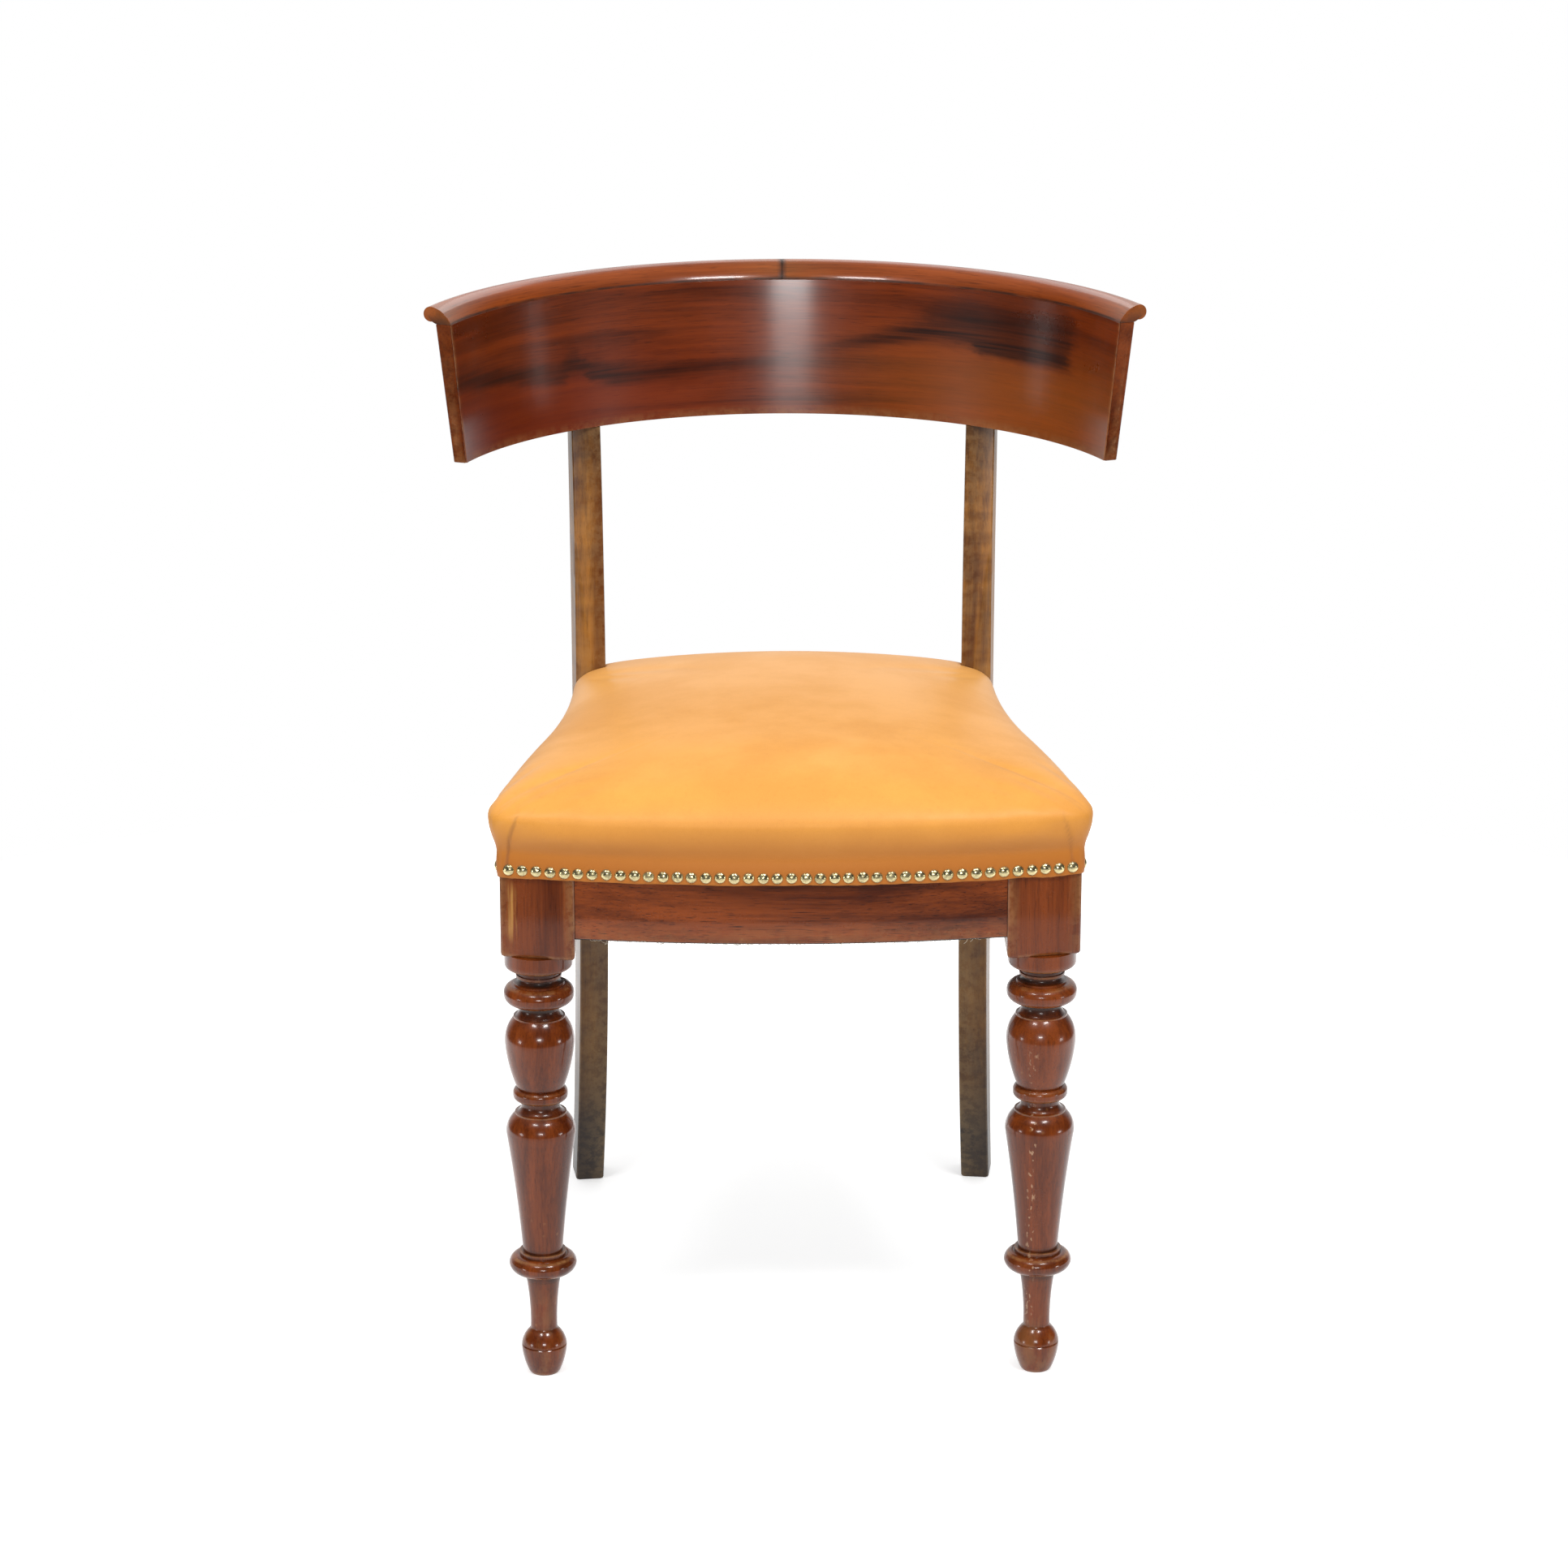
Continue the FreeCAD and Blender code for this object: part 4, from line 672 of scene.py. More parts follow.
def wear_group():
    """Masks of rubbed arrises, darkening in the hollows and small knocks."""
    group, given, leave = new_group("Age and wear", "ShaderNodeTree", [
        ("Coordinates", "Vector", None), ("Arris", "Float", 0.0), ("Hollow", "Float", 0.0),
        ("Rubbed", "Float", 0.6), ("Hollow Darkening", "Float", 0.6), ("Knocks", "Float", 0.4)],
        [("Rubbed", "Float"), ("Hollow Darkening", "Float"), ("Knocks", "Float"), ("Haze", "Float")])
    here = given["Coordinates"]
    broken = remap(group, clouds(group, here, 140.0, 4.0, 0.65), 0.38, 0.6)
    patchy = remap(group, clouds(group, here, 22.0, 2.0), 0.35, 0.62)
    rubbed = times(group, times(group, given["Arris"], given["Rubbed"]),
                   times_plus(group, broken, 0.6, times(group, patchy, 0.4)), clamp=True)
    hollow_clouds = remap(group, clouds(group, here, 60.0, 3.0), 0.25, 0.65, 0.45, 1.0)
    hollow_darkening = times(group, times(group, given["Hollow"], given["Hollow Darkening"]), hollow_clouds, clamp=True)
    cells = put(group, "ShaderNodeTexVoronoi", {"Vector": here, "Scale": 95.0, "Randomness": 1.0})
    spots = remap(group, cells, 0.16, 0.05)
    chosen = remap(group, clouds(group, here, 18.0, 1.0), 0.56, 0.66)
    knocks = times(group, times(group, spots, chosen), given["Knocks"])
    haze = remap(group, clouds(group, here, 34.0, 5.0, 0.7), 0.4, 0.75)
    return close_group(group, leave, rubbed, hollow_darkening, knocks, haze)


def weave_group():
    """Plain weave on the X and Y of its coordinates."""
    group, given, leave = new_group("Plain weave", "ShaderNodeTree", [
        ("Coordinates", "Vector", None), ("Threads", "Float", 900.0), ("Pale", "Color", (0.6, 0.5, 0.36, 1)),
        ("Dark", "Color", (0.2, 0.15, 0.1, 1)), ("Slub", "Float", 0.4)],
        [("Color", "Color"), ("Height", "Float")])
    drift = clouds(group, given["Coordinates"], 30.0, 2.0, out=1)
    here = vector_calc(group, "ADD", given["Coordinates"], stretched(group, drift, (0.0016, 0.0016, 0.0016)))
    x, y, _ = split(group, here)
    turns = times(group, given["Threads"], math.pi)
    across, along = [calc(group, "SINE", times(group, way, turns)) for way in (x, y)]
    warp, weft = calc(group, "ABSOLUTE", across), calc(group, "ABSOLUTE", along)
    checker = times(group, across, along)
    over = remap(group, checker, -0.15, 0.15)
    height = put(group, "ShaderNodeMix", {0: over, 2: warp, 3: weft}, data_type="FLOAT")
    slub = streaks(group, here, (120, 1400, 300), 3.0)
    tone = times_plus(group, minus(group, slub, 0.5), given["Slub"], height, clamp=True)
    return close_group(group, leave, mix_colour(group, tone, given["Dark"], given["Pale"]), tone)


def hide_group():
    """Leather: fine pebble, soft mottling, darker where it has been handled."""
    group, given, leave = new_group("Leather hide", "ShaderNodeTree", [
        ("Coordinates", "Vector", None), ("Pale", "Color", (0.9, 0.55, 0.25, 1)),
        ("Deep", "Color", (0.6, 0.28, 0.08, 1)), ("Pebble", "Float", 850.0)],
        [("Color", "Color"), ("Gloss", "Float"), ("Height", "Float")])
    here = given["Coordinates"]
    warp = vector_calc(group, "ADD", here, stretched(group, clouds(group, here, 90.0, 2.0, out=1),
                                                     (0.0012, 0.0012, 0.0012)))
    cells = put(group, "ShaderNodeTexVoronoi", {"Vector": warp, "Scale": given["Pebble"]},
                feature="DISTANCE_TO_EDGE")
    pebble = remap(group, cells, 0.0, 0.22)
    mottle = streaks(group, here, (9, 11, 9), 5.0, 0.62)
    cloud = remap(group, mottle, 0.3, 0.72)
    freckle = remap(group, clouds(group, here, 260.0, 3.0, 0.6), 0.52, 0.74)
    tone = times_plus(group, freckle, 0.06, times(group, cloud, 0.26), clamp=True)
    skin = mix_colour(group, tone, given["Pale"], given["Deep"])
    crease = times(group, minus(group, 1.0, pebble), 0.1)
    skin = mix_colour(group, crease, skin, given["Deep"])
    fine = times(group, clouds(group, here, 420.0, 3.0), 0.5)
    height = times_plus(group, pebble, 0.5, fine)
    return close_group(group, leave, skin, cloud, height)


GROUP_MAKERS = {"figure": figure_group, "wear": wear_group, "weave": weave_group, "hide": hide_group,
                "spin": spin_tree, "studs": stud_tree, "threads": thread_tree}
GROUPS = {}
MATERIALS = {}


def group_named(name):
    if name not in GROUPS:
        GROUPS[name] = GROUP_MAKERS[name]()
    return GROUPS[name]


def attribute(tree, name, out=2):
    """A piece's own attribute: out 1 is a vector and 2 a value."""
    return put(tree, "ShaderNodeAttribute", out=out, attribute_name=name)


def object_place(tree):
    return put(tree, "ShaderNodeTexCoord", out=3)


def new_material(name):
    material = bpy.data.materials.new(name)
    material.use_nodes = True
    material.node_tree.nodes.clear()
    return material, material.node_tree


def surface(tree, colour, roughness, height, bump=0.0003, strength=0.4, metallic=0.0, **constants):
    """The Principled surface of a material, with bump from a height."""
    normal = put(tree, "ShaderNodeBump", {"Strength": strength, "Distance": bump, "Height": height})
    values = {"Base Color": colour, "Roughness": roughness, "Metallic": metallic, "Normal": normal}
    values.update({key.replace("_", " "): value for key, value in constants.items()})
    shader = put(tree, "ShaderNodeBsdfPrincipled", values)
    put(tree, "ShaderNodeOutputMaterial", {"Surface": shader})


def along_grain(tree, order):
    """Coordinates with the piece's grain direction first: object axes in an order, or its own attribute."""
    if order is None:
        return attribute(tree, "grain", 1)
    parts = split(tree, object_place(tree))
    return merged(tree, *[parts["XYZ".index(letter)] for letter in order])


def colour(value):
    return (*value, 1.0)


def wood_finish(name, pale, dark, worn, order, polish, fibre=1.0, contrast=1.0, ripple=0.0, pores=0.5,
                seed=0.0, rubbed=0.7, hollow_darkening=0.8, knocks=0.5, waves=0.5, shine=0.08, coat=0.32, extra=None):
    """Polished old wood. extra may change the colour before the wear goes on."""
    if name in MATERIALS:
        return MATERIALS[name]
    material, tree = new_material(name)
    grain = along_grain(tree, order)
    figure = use_group(tree, group_named("figure"), {
        "Coordinates": grain, "Pale": colour(pale), "Dark": colour(dark), "Fibre": fibre,
        "Contrast": contrast, "Ripple": ripple, "Pores": pores, "Seed": seed})
    wear = use_group(tree, group_named("wear"), {
        "Coordinates": object_place(tree), "Arris": attribute(tree, "wear"),
        "Hollow": attribute(tree, "recess"), "Rubbed": rubbed, "Hollow Darkening": hollow_darkening, "Knocks": knocks})
    shade = figure["Color"]
    if extra is not None:
        shade = extra(tree, shade, grain)
    # Darker in the hollows that the profiles mark, in patches
    shade = mix_colour(tree, wear["Hollow Darkening"], shade, (0.012, 0.006, 0.004, 1))
    shade = mix_colour(tree, wear["Rubbed"], shade, colour(worn))
    shade = mix_colour(tree, wear["Knocks"], shade, colour(worn))
    rough = remap(tree, figure["Gloss"], 0.2, 0.8, polish - 0.06, polish + 0.08)
    rough = times_plus(tree, wear["Haze"], 0.06, rough)
    matt = plus(tree, wear["Rubbed"], wear["Hollow Darkening"])
    rough = times_plus(tree, matt, 0.25, rough, clamp=True)
    height = minus(tree, times(tree, figure["Height"], 0.3), wear["Knocks"])
    height = times_plus(tree, clouds(tree, object_place(tree), 42.0, 2.0), waves, height)
    surface(tree, shade, rough, height, bump=0.0002, strength=0.35, Specular_IOR_Level=0.25,
            Coat_Weight=coat, Coat_Roughness=shine)
    MATERIALS[name] = material
    return material


def curve_of(tree, value, points):
    """A smooth curve through given points, both axes from 0 to 1."""
    node = put(tree, "ShaderNodeFloatCurve", {1: value}).node
    line = node.mapping.curves[0]
    for _ in range(len(points) - 2):
        line.points.new(0.5, 0.5)
    for point, at in zip(line.points, points):
        point.location = at
    node.mapping.update()
    return node.outputs[0]


# The crest's streak from left to right: how high its lower edge lies, how deep and how dark it is
STREAK_EDGE = [(0.0, 0.5), (0.14, 0.4), (0.2, 0.345), (0.226, 0.41), (0.25, 0.33), (0.34, 0.29),
               (0.45, 0.345), (0.54, 0.44), (0.64, 0.54), (0.72, 0.585), (0.77, 0.52), (0.9, 0.53),
               (1.0, 0.5)]
STREAK_DEPTH = [(0.0, 0.2), (0.2, 0.2), (0.35, 0.15), (0.45, 0.1), (0.54, 0.1), (0.64, 0.16), (0.7, 0.3),
                (0.78, 0.44), (0.9, 0.46), (1.0, 0.4)]
STREAK_TONE = [(0.0, 0.75), (0.2, 0.85), (0.35, 0.75), (0.45, 0.45), (0.54, 0.5), (0.64, 0.8), (0.8, 0.9),
               (0.89, 0.85), (0.915, 0.0), (1.0, 0.0)]


def crest_figure(tree, shade, grain):
    """The dark streak that wanders along the crest face, and the redder and more golden ends."""
    x, height, _ = split(tree, grain)
    length = 2 * CREST_HALF_ANGLE * CREST_RADIUS * MM
    drift = streaks(tree, grain, (26, 60, 60), 4.0, 0.6)
    drift = minus(tree, drift, 0.5)
    along = times_plus(tree, x, 1 / length, 0.5)
    ragged = minus(tree, streaks(tree, grain, (60, 260, 60), 3.0, 0.6), 0.5)
    along = times_plus(tree, drift, 0.05, along)
    along = times_plus(tree, ragged, 0.035, along, clamp=True)
    rise = minus(tree, height, CREST_BOTTOM * MM)
    rise = calc(tree, "DIVIDE", rise, (CREST_TOP - CREST_BOTTOM) * MM)
    rise = times_plus(tree, drift, 0.09, rise)
    above = minus(tree, rise, curve_of(tree, along, STREAK_EDGE))
    depth = curve_of(tree, along, STREAK_DEPTH)
    lower = remap(tree, above, -0.045, 0.06)
    sunk = calc(tree, "DIVIDE", above, times(tree, depth, 1.35), clamp=True)
    upper = remap(tree, minus(tree, 1.0, sunk), 0.0, 0.75)
    streak = times(tree, times(tree, lower, upper), curve_of(tree, along, STREAK_TONE))
    lines = remap(tree, streaks(tree, grain, (7, 330, 330), 3.0), 0.3, 0.7, 0.7, 1.15)
    streak = times(tree, streak, lines, clamp=True)
    golden = times(tree, remap(tree, along, 0.45, 0.8), remap(tree, rise, 0.85, 0.3))
    ruddy = times(tree, remap(tree, along, 0.6, 0.2), remap(tree, rise, 0.75, 0.25))
    shade = mix_colour(tree, times(tree, golden, 0.45), shade, (0.3, 0.08, 0.008, 1))
    shade = mix_colour(tree, times(tree, ruddy, 0.5), shade, (0.13, 0.012, 0.0015, 1))
    return mix_colour(tree, streak, shade, (0.013, 0.003, 0.0015, 1))


def roll_painted_sheen(tree, shade, grain):
    """Painted sheen: the roll is made paler towards its ends, where it mirrors the white surround."""
    x, _, _ = split(tree, grain)
    away = calc(tree, "ABSOLUTE", x)
    end = remap(tree, away, 0.08, 0.3)
    patchy = remap(tree, streaks(tree, grain, (14, 50, 50), 3.0), 0.3, 0.65, 0.4, 1.0)
    # Painted reflection of the white surround towards the roll's ends
    painted_end_sheen = times(tree, end, patchy)
    return mix_colour(tree, times(tree, painted_end_sheen, 0.6), shade, (0.4, 0.2, 0.07, 1))


PATCH_X = (-0.2135, -0.2025)    # the rubbed patch wanders between these
SCUFFS_X = 0.1833               # middle of the band of small scuffs on the right leg


def block_wear(tree, shade, grain):
    """Rubbed patch down the left front block, small scuffs on the right leg, and both feet rubbed."""
    x, _, z = split(tree, object_place(tree))
    centre = remap(tree, streaks(tree, object_place(tree), (30, 30, 14), 3.0), 0.3, 0.7, *PATCH_X)
    off = calc(tree, "ABSOLUTE", minus(tree, x, centre))
    upright = times(tree, remap(tree, z, 0.352, 0.368), remap(tree, z, 0.407, 0.392))
    patch_mask = times(tree, remap(tree, off, 0.0065, 0.001), upright)
    fibres = remap(tree, streaks(tree, grain, (10, 420, 420), 3.0), 0.35, 0.6)
    patch_mask = times(tree, patch_mask, fibres)
    shade = mix_colour(tree, times(tree, patch_mask, 0.85), shade, (0.42, 0.2, 0.05, 1))
    scuffs = streaks(tree, object_place(tree), (330, 330, 200), 2.0)
    band = remap(tree, calc(tree, "ABSOLUTE", minus(tree, x, SCUFFS_X)), 0.0045, 0.001)
    low = times(tree, remap(tree, z, 0.03, 0.06), remap(tree, z, 0.31, 0.25))
    dots = times(tree, times(tree, remap(tree, scuffs, 0.6, 0.66), band), low)
    foot = remap(tree, z, 0.1, 0.02)
    rub = remap(tree, streaks(tree, object_place(tree), (70, 70, 40), 4.0, 0.65), 0.42, 0.62)
    shade = mix_colour(tree, times(tree, times(tree, foot, rub), 0.5), shade, (0.2, 0.085, 0.03, 1))
    return mix_colour(tree, times(tree, dots, 0.8), shade, (0.4, 0.24, 0.14, 1))


def post_painted_shade(tree, shade, grain):
    """Painted shade below the seat, deeper towards the floor, and from just under the crest rail up; ruddier
    inside the left post.
    """
    x, _, z = split(tree, object_place(tree))
    # Painted shade: below the seat, deeper near the floor, and from just under the crest rail to the top
    below = times(tree, remap(tree, z, 0.42, 0.33), 0.62)
    foot = times(tree, remap(tree, z, 0.17, 0.02), 0.42)
    head = times(tree, remap(tree, z, 0.59, 0.668), 0.6)
    ruddy = times(tree, remap(tree, x, -0.158, -0.15), remap(tree, x, 0.05, -0.05))
    shade = mix_colour(tree, times(tree, ruddy, 0.65), shade, (0.1, 0.025, 0.003, 1))
    dark = plus(tree, plus(tree, below, foot), head, clamp=True)
    return mix_colour(tree, dark, shade, (0.012, 0.005, 0.003, 1))


def mahogany(settings, part):
    """The mahogany finish of one kind of piece."""
    pale, dark, worn = settings.mahogany_pale, settings.mahogany_dark, settings.mahogany_worn
    polish = settings.polish
    if part == "crest_face":
        deep = tuple(a * b for a, b in zip(pale, (0.88, 0.66, 0.35)))
        return wood_finish("Mahogany crest face", deep, dark, worn, None, polish + 0.1,
                           contrast=1.2, rubbed=0.45, hollow_darkening=0.3, knocks=0.0, waves=3.0, shine=0.15, coat=0.85,
                           extra=crest_figure)
    if part == "roll":
        # The roll's colours are half as light again: partly paler wood, partly painted sheen of the light on
        # its upper face
        return wood_finish("Mahogany roll", tuple(c * 1.5 for c in pale), tuple(c * 1.5 for c in dark), worn,
                           None, polish - 0.04, contrast=0.8, rubbed=0.4,
                           hollow_darkening=1.0, knocks=0.1, seed=5.2, extra=roll_painted_sheen)
    if part == "crest":
        return wood_finish("Mahogany crest", pale, dark, worn, None, polish,
                           contrast=1.0, rubbed=0.55, knocks=0.3, seed=3.7)
    if part == "leg":
        return wood_finish("Mahogany turning", pale, dark, worn, "ZXY", polish,
                           contrast=1.1, rubbed=0.65, hollow_darkening=0.95, knocks=0.3, seed=1.3, extra=block_wear)
    rich = tuple(c * 1.3 for c in pale)
    return wood_finish("Mahogany rail", rich, dark, worn, "XZY", polish + 0.06,
                       contrast=1.1, pores=0.8, rubbed=0.28, knocks=0.3, seed=6.1)


def birch(settings):
    return wood_finish("Stained birch post", settings.birch_pale, settings.birch_dark, settings.birch_worn,
                       "ZXY", settings.polish + 0.14, fibre=0.7, contrast=1.35,
                       ripple=0.35, pores=0.35, rubbed=0.35, knocks=0.2, seed=2.2, shine=0.26, coat=0.15,
                       extra=post_painted_shade)


def pine(settings):
    return wood_finish("Sawn pine", settings.pine_pale, settings.pine_dark, (0.5, 0.36, 0.2),
                       "XZY", 0.62, fibre=0.6, contrast=0.9, pores=0.1, rubbed=0.2,
                       hollow_darkening=0.2, seed=4.4)


def side_pine(settings):
    return wood_finish("Stained side rail", settings.mahogany_pale, settings.mahogany_dark,
                       settings.mahogany_worn, "YZX", settings.polish + 0.1,
                       contrast=1.0, pores=0.7, rubbed=0.4, seed=8.3)


def leather_finish(settings):
    """Tan aniline leather: painted light makes it paler towards the back, and it is deeper down the front,
    partly deeper dye and partly painted shade, with painted shade in the pleats' creases and a cut edge.
    """
    if "leather" in MATERIALS:
        return MATERIALS["leather"]
    material, tree = new_material("Tan leather")
    here = object_place(tree)
    hide = use_group(tree, group_named("hide"), {
        "Coordinates": here, "Pale": colour(settings.leather_pale),
        "Deep": colour(settings.leather_deep), "Pebble": settings.pebbles})
    _, y, z = split(tree, here)
    # Painted light: the leather is made paler towards the back, where the light falls on it
    rear = times(tree, remap(tree, y, -0.12, 0.17), 0.45)
    shade = mix_colour(tree, rear, hide["Color"], colour(settings.leather_painted_light))
    # Darker down the front: partly deeper dye, partly painted shade
    front_shade_and_dye = times(tree, remap(tree, z, 0.472, 0.415), 0.95)
    shade = mix_colour(tree, front_shade_and_dye, shade, colour(settings.leather_deep))
    # Painted shade in the creases of the pleats
    fold = attribute(tree, "recess")
    shade = mix_colour(tree, fold, shade, (0.16, 0.05, 0.015, 1))
    rough = remap(tree, hide["Gloss"], 0.0, 1.0, settings.leather_roughness, settings.leather_roughness + 0.1)
    surface(tree, shade, rough, hide["Height"], bump=0.00012, strength=0.25, Specular_IOR_Level=0.42)
    MATERIALS["leather"] = material
    return material


def metal_finish(name, bright, tarnish, roughness, tarnished=0.5):
    """Old metal: bright crowns, dark blotches of tarnish, and dark rims that are partly tarnish and partly
    painted shade round each head.
    """
    if name in MATERIALS:
        return MATERIALS[name]
    material, tree = new_material(name)
    here = object_place(tree)
    # The dark rim is partly tarnish and partly painted shade round the head
    rim = remap(tree, attribute(tree, "rim"), 0.62, 0.95)
    blotch = remap(tree, clouds(tree, here, 420.0, 4.0, 0.65), 0.42, 0.62)
    each = remap(tree, clouds(tree, here, 75.0, 1.0), 0.3, 0.7, 0.3, 1.0)
    mask = calc(tree, "MAXIMUM", times(tree, rim, 0.9), times(tree, times(tree, blotch, each), tarnished),
                clamp=True)
    shade = mix_colour(tree, mask, colour(bright), colour(tarnish))
    rough = times_plus(tree, mask, 0.3, roughness, clamp=True)
    dents = clouds(tree, here, 520.0, 2.0)
    metal = remap(tree, mask, 0.0, 1.0, 1.0, 0.25)
    surface(tree, shade, rough, dents, bump=0.0004, strength=0.5, metallic=metal)
    MATERIALS[name] = material
    return material


def cloth_finish(name, pale, dark, threads, slub=0.4):
    if name in MATERIALS:
        return MATERIALS[name]
    material, tree = new_material(name)
    weave = use_group(tree, group_named("weave"), {
        "Coordinates": object_place(tree), "Threads": threads, "Pale": colour(pale), "Dark": colour(dark),
        "Slub": slub})
    stain = remap(tree, clouds(tree, object_place(tree), 14.0, 4.0), 0.45, 0.7, 0.0, 0.35)
    shade = mix_colour(tree, stain, weave["Color"], colour(dark))
    rough = remap(tree, stain, 0.0, 0.35, 0.85, 0.95)
    surface(tree, shade, rough, weave["Height"], bump=0.0006, strength=0.7)
    MATERIALS[name] = material
    return material


# Crest rail

def profile_mesh(name, points, closed, wear=None, recess=None):
    """A profile of (radius, height) points as a chain of edges, in metres."""
    count = len(points)
    edges = [(i, i + 1) for i in range(count - 1)] + ([(count - 1, 0)] if closed else [])
    zeros = np.zeros(count)
    return new_mesh(name, [(r * MM, 0, z * MM) for r, z in points], edges=edges,
                    wear=zeros if wear is None else wear, recess=zeros if recess is None else recess)


def spun(name, profile, closed, centre, start, sweep, segments, material, grain_radius=0.1,
         smooth_angle=35):
    """A piece spun about an upright axis, in its material."""
    mesh = grown(name, profile, group_named("spin"), {
        "Centre": tuple(place([centre[0], centre[1], 0])), "Start": start, "Sweep": sweep,
        "Segments": segments, "Closed": closed, "Grain Radius": grain_radius, "Finish": material})
    covered(mesh, material)
    return new_object(name, tidy(mesh, smooth_angle, close=True))


def softened(obj, width):
    """A live bevel on the piece's true edges."""
    modifier = obj.modifiers.new("Worn arrises", "BEVEL")
    modifier.width = width * MM
    modifier.segments = 2
    modifier.limit_method = "ANGLE"
    modifier.angle_limit = math.radians(38)
    modifier.harden_normals = True
    return obj


def dense(corners, steps):
    """A closed polygon with its sides divided, each by its own number of steps."""
    points = []
    for (a, b), count in zip(zip(corners, corners[1:] + corners[:1]), steps):
        points += [np.array(a) + (np.array(b) - np.array(a)) * k / count for k in range(count)]
    return points


def make_crest_rail(settings, segments):
    """Board, face veneer and the two halves of the rolled top."""
    start, sweep = math.pi / 2 - CREST_HALF_ANGLE, 2 * CREST_HALF_ANGLE
    centre = (0, CREST_CENTRE_Y)
    inner, outer = CREST_RADIUS + VENEER, CREST_RADIUS + CREST_THICKNESS_LOW
    top_inner = CREST_RADIUS + CREST_FLARE + VENEER
    top_outer = CREST_RADIUS + CREST_FLARE + CREST_THICKNESS_HIGH
    board = dense([(inner, CREST_BOTTOM), (outer, CREST_BOTTOM), (top_outer, CREST_TOP),
                   (top_inner, CREST_TOP)], (3, 14, 3, 14))
    edge = [1.0 if z < CREST_BOTTOM + 0.1 else 0.0 for _, z in board]
    piece = spun("crest_board", profile_mesh("crest_board", board, True, wear=edge), True, centre, start,
                 sweep, segments, mahogany(settings, "crest"), CREST_RADIUS * MM)
    finished(softened(piece, 0.9), None, ["crest_board"])

    lift = 0.35                     # of the worn veneer's lower edge
    face = dense([(CREST_RADIUS, CREST_BOTTOM + lift), (inner - 0.02, CREST_BOTTOM + lift),
                  (top_inner - 0.02, CREST_TOP), (CREST_RADIUS + CREST_FLARE, CREST_TOP)], (1, 14, 1, 14))
    short = 0.5 / CREST_RADIUS
    edge = [1.0 if z < CREST_BOTTOM + 1 else 0.0 for _, z in face]
    piece = spun("crest_face_veneer", profile_mesh("crest_face", face, True, wear=edge), True, centre,
                 start + short, sweep - 2 * short, segments, mahogany(settings, "crest_face"),
                 CREST_RADIUS * MM)
    mark_ends(piece, CREST_HALF_ANGLE - short)
    finished(softened(piece, 0.3), None, ["crest_face_veneer"])

    base, heel = (CREST_RADIUS + CREST_FLARE, CREST_TOP), (top_outer, CREST_TOP)
    bead = np.array([top_outer + ROLL_OVERHANG, CREST_TOP + ROLL_HEIGHT]) - ROLL_BEAD_RADIUS

    def on_bead(degrees):
        angle = math.radians(degrees)
        return bead + ROLL_BEAD_RADIUS * np.array([math.cos(angle), math.sin(angle)])

    crown, under = on_bead(100), on_bead(-100)
    swell = (np.array(base) + crown) / 2 + [-2.2, 1.6]
    profile = [np.array(base), *arc_points(base, swell, crown, 1.2)]
    profile += arc_points(crown, on_bead(0), under, 1.2)
    profile += [under + (np.array(heel) - under) * k / 4 for k in range(1, 5)]
    profile += [np.array(heel) + (np.array(base) - heel) * k / 5 for k in range(1, 5)]
    hollow = [0.8 if z < CREST_TOP + 1.2 else 0.0 for _, z in profile]
    seam = 0.04 / CREST_RADIUS
    for side, begin in (("right", start), ("left", math.pi / 2 + seam)):
        name = "crest_roll_" + side
        piece = spun(name, profile_mesh(name, profile, True, recess=hollow), True, centre, begin,
                     CREST_HALF_ANGLE - seam, segments // 2, mahogany(settings, "roll"), CREST_RADIUS * MM)
        recess = piece.data.attributes["recess"].data
        for vertex in piece.data.vertices:
            if abs(vertex.co.x) < 0.0002:
                recess[vertex.index].value = 1.0
        finished(softened(piece, 0.3), None, [name])


def mark_ends(piece, half_angle):
    """Writes wear on the points at both ends of the spun veneer."""
    centre = place([0, CREST_CENTRE_Y, 0])
    worn = piece.data.attributes["wear"].data
    for vertex in piece.data.vertices:
        angle = abs(math.atan2(vertex.co.x - centre[0], vertex.co.y - centre[1]))
        if half_angle - angle < 0.002:
            worn[vertex.index].value = 1.0


# Front legs

class Turning:
    """Half section of a turned leg in millimetres, from the floor up."""

    def __init__(self, radius):
        self.points = [np.array([0.0, 0.0]), np.array([radius, 0.0])]

    def straight(self, radius, rise):
        start = self.points[-1]
        end = np.array([radius, start[1] + rise])
        count = max(1, int(np.linalg.norm(end - start) / 1.5))
        self.points += [start + (end - start) * k / count for k in range(1, count + 1)]

    def bend(self, mid_radius, mid_rise, radius, rise):
        start = self.points[-1]
        self.points += arc_points(start, (mid_radius, start[1] + mid_rise), (radius, start[1] + rise), 0.9)

    def ring(self, radius, rise, foot, head):
        self.straight(foot, 0)
        self.bend((foot + 3 * radius) / 4, rise * 0.13, radius, rise * 0.48)
        self.bend((head + 3 * radius) / 4, rise * 0.37, head, rise * 0.52)

    def groove(self, depth, rise):
        """A small incised line."""
        radius = self.points[-1][0]
        self.straight(radius - depth, rise / 2)
        self.straight(radius, rise / 2)


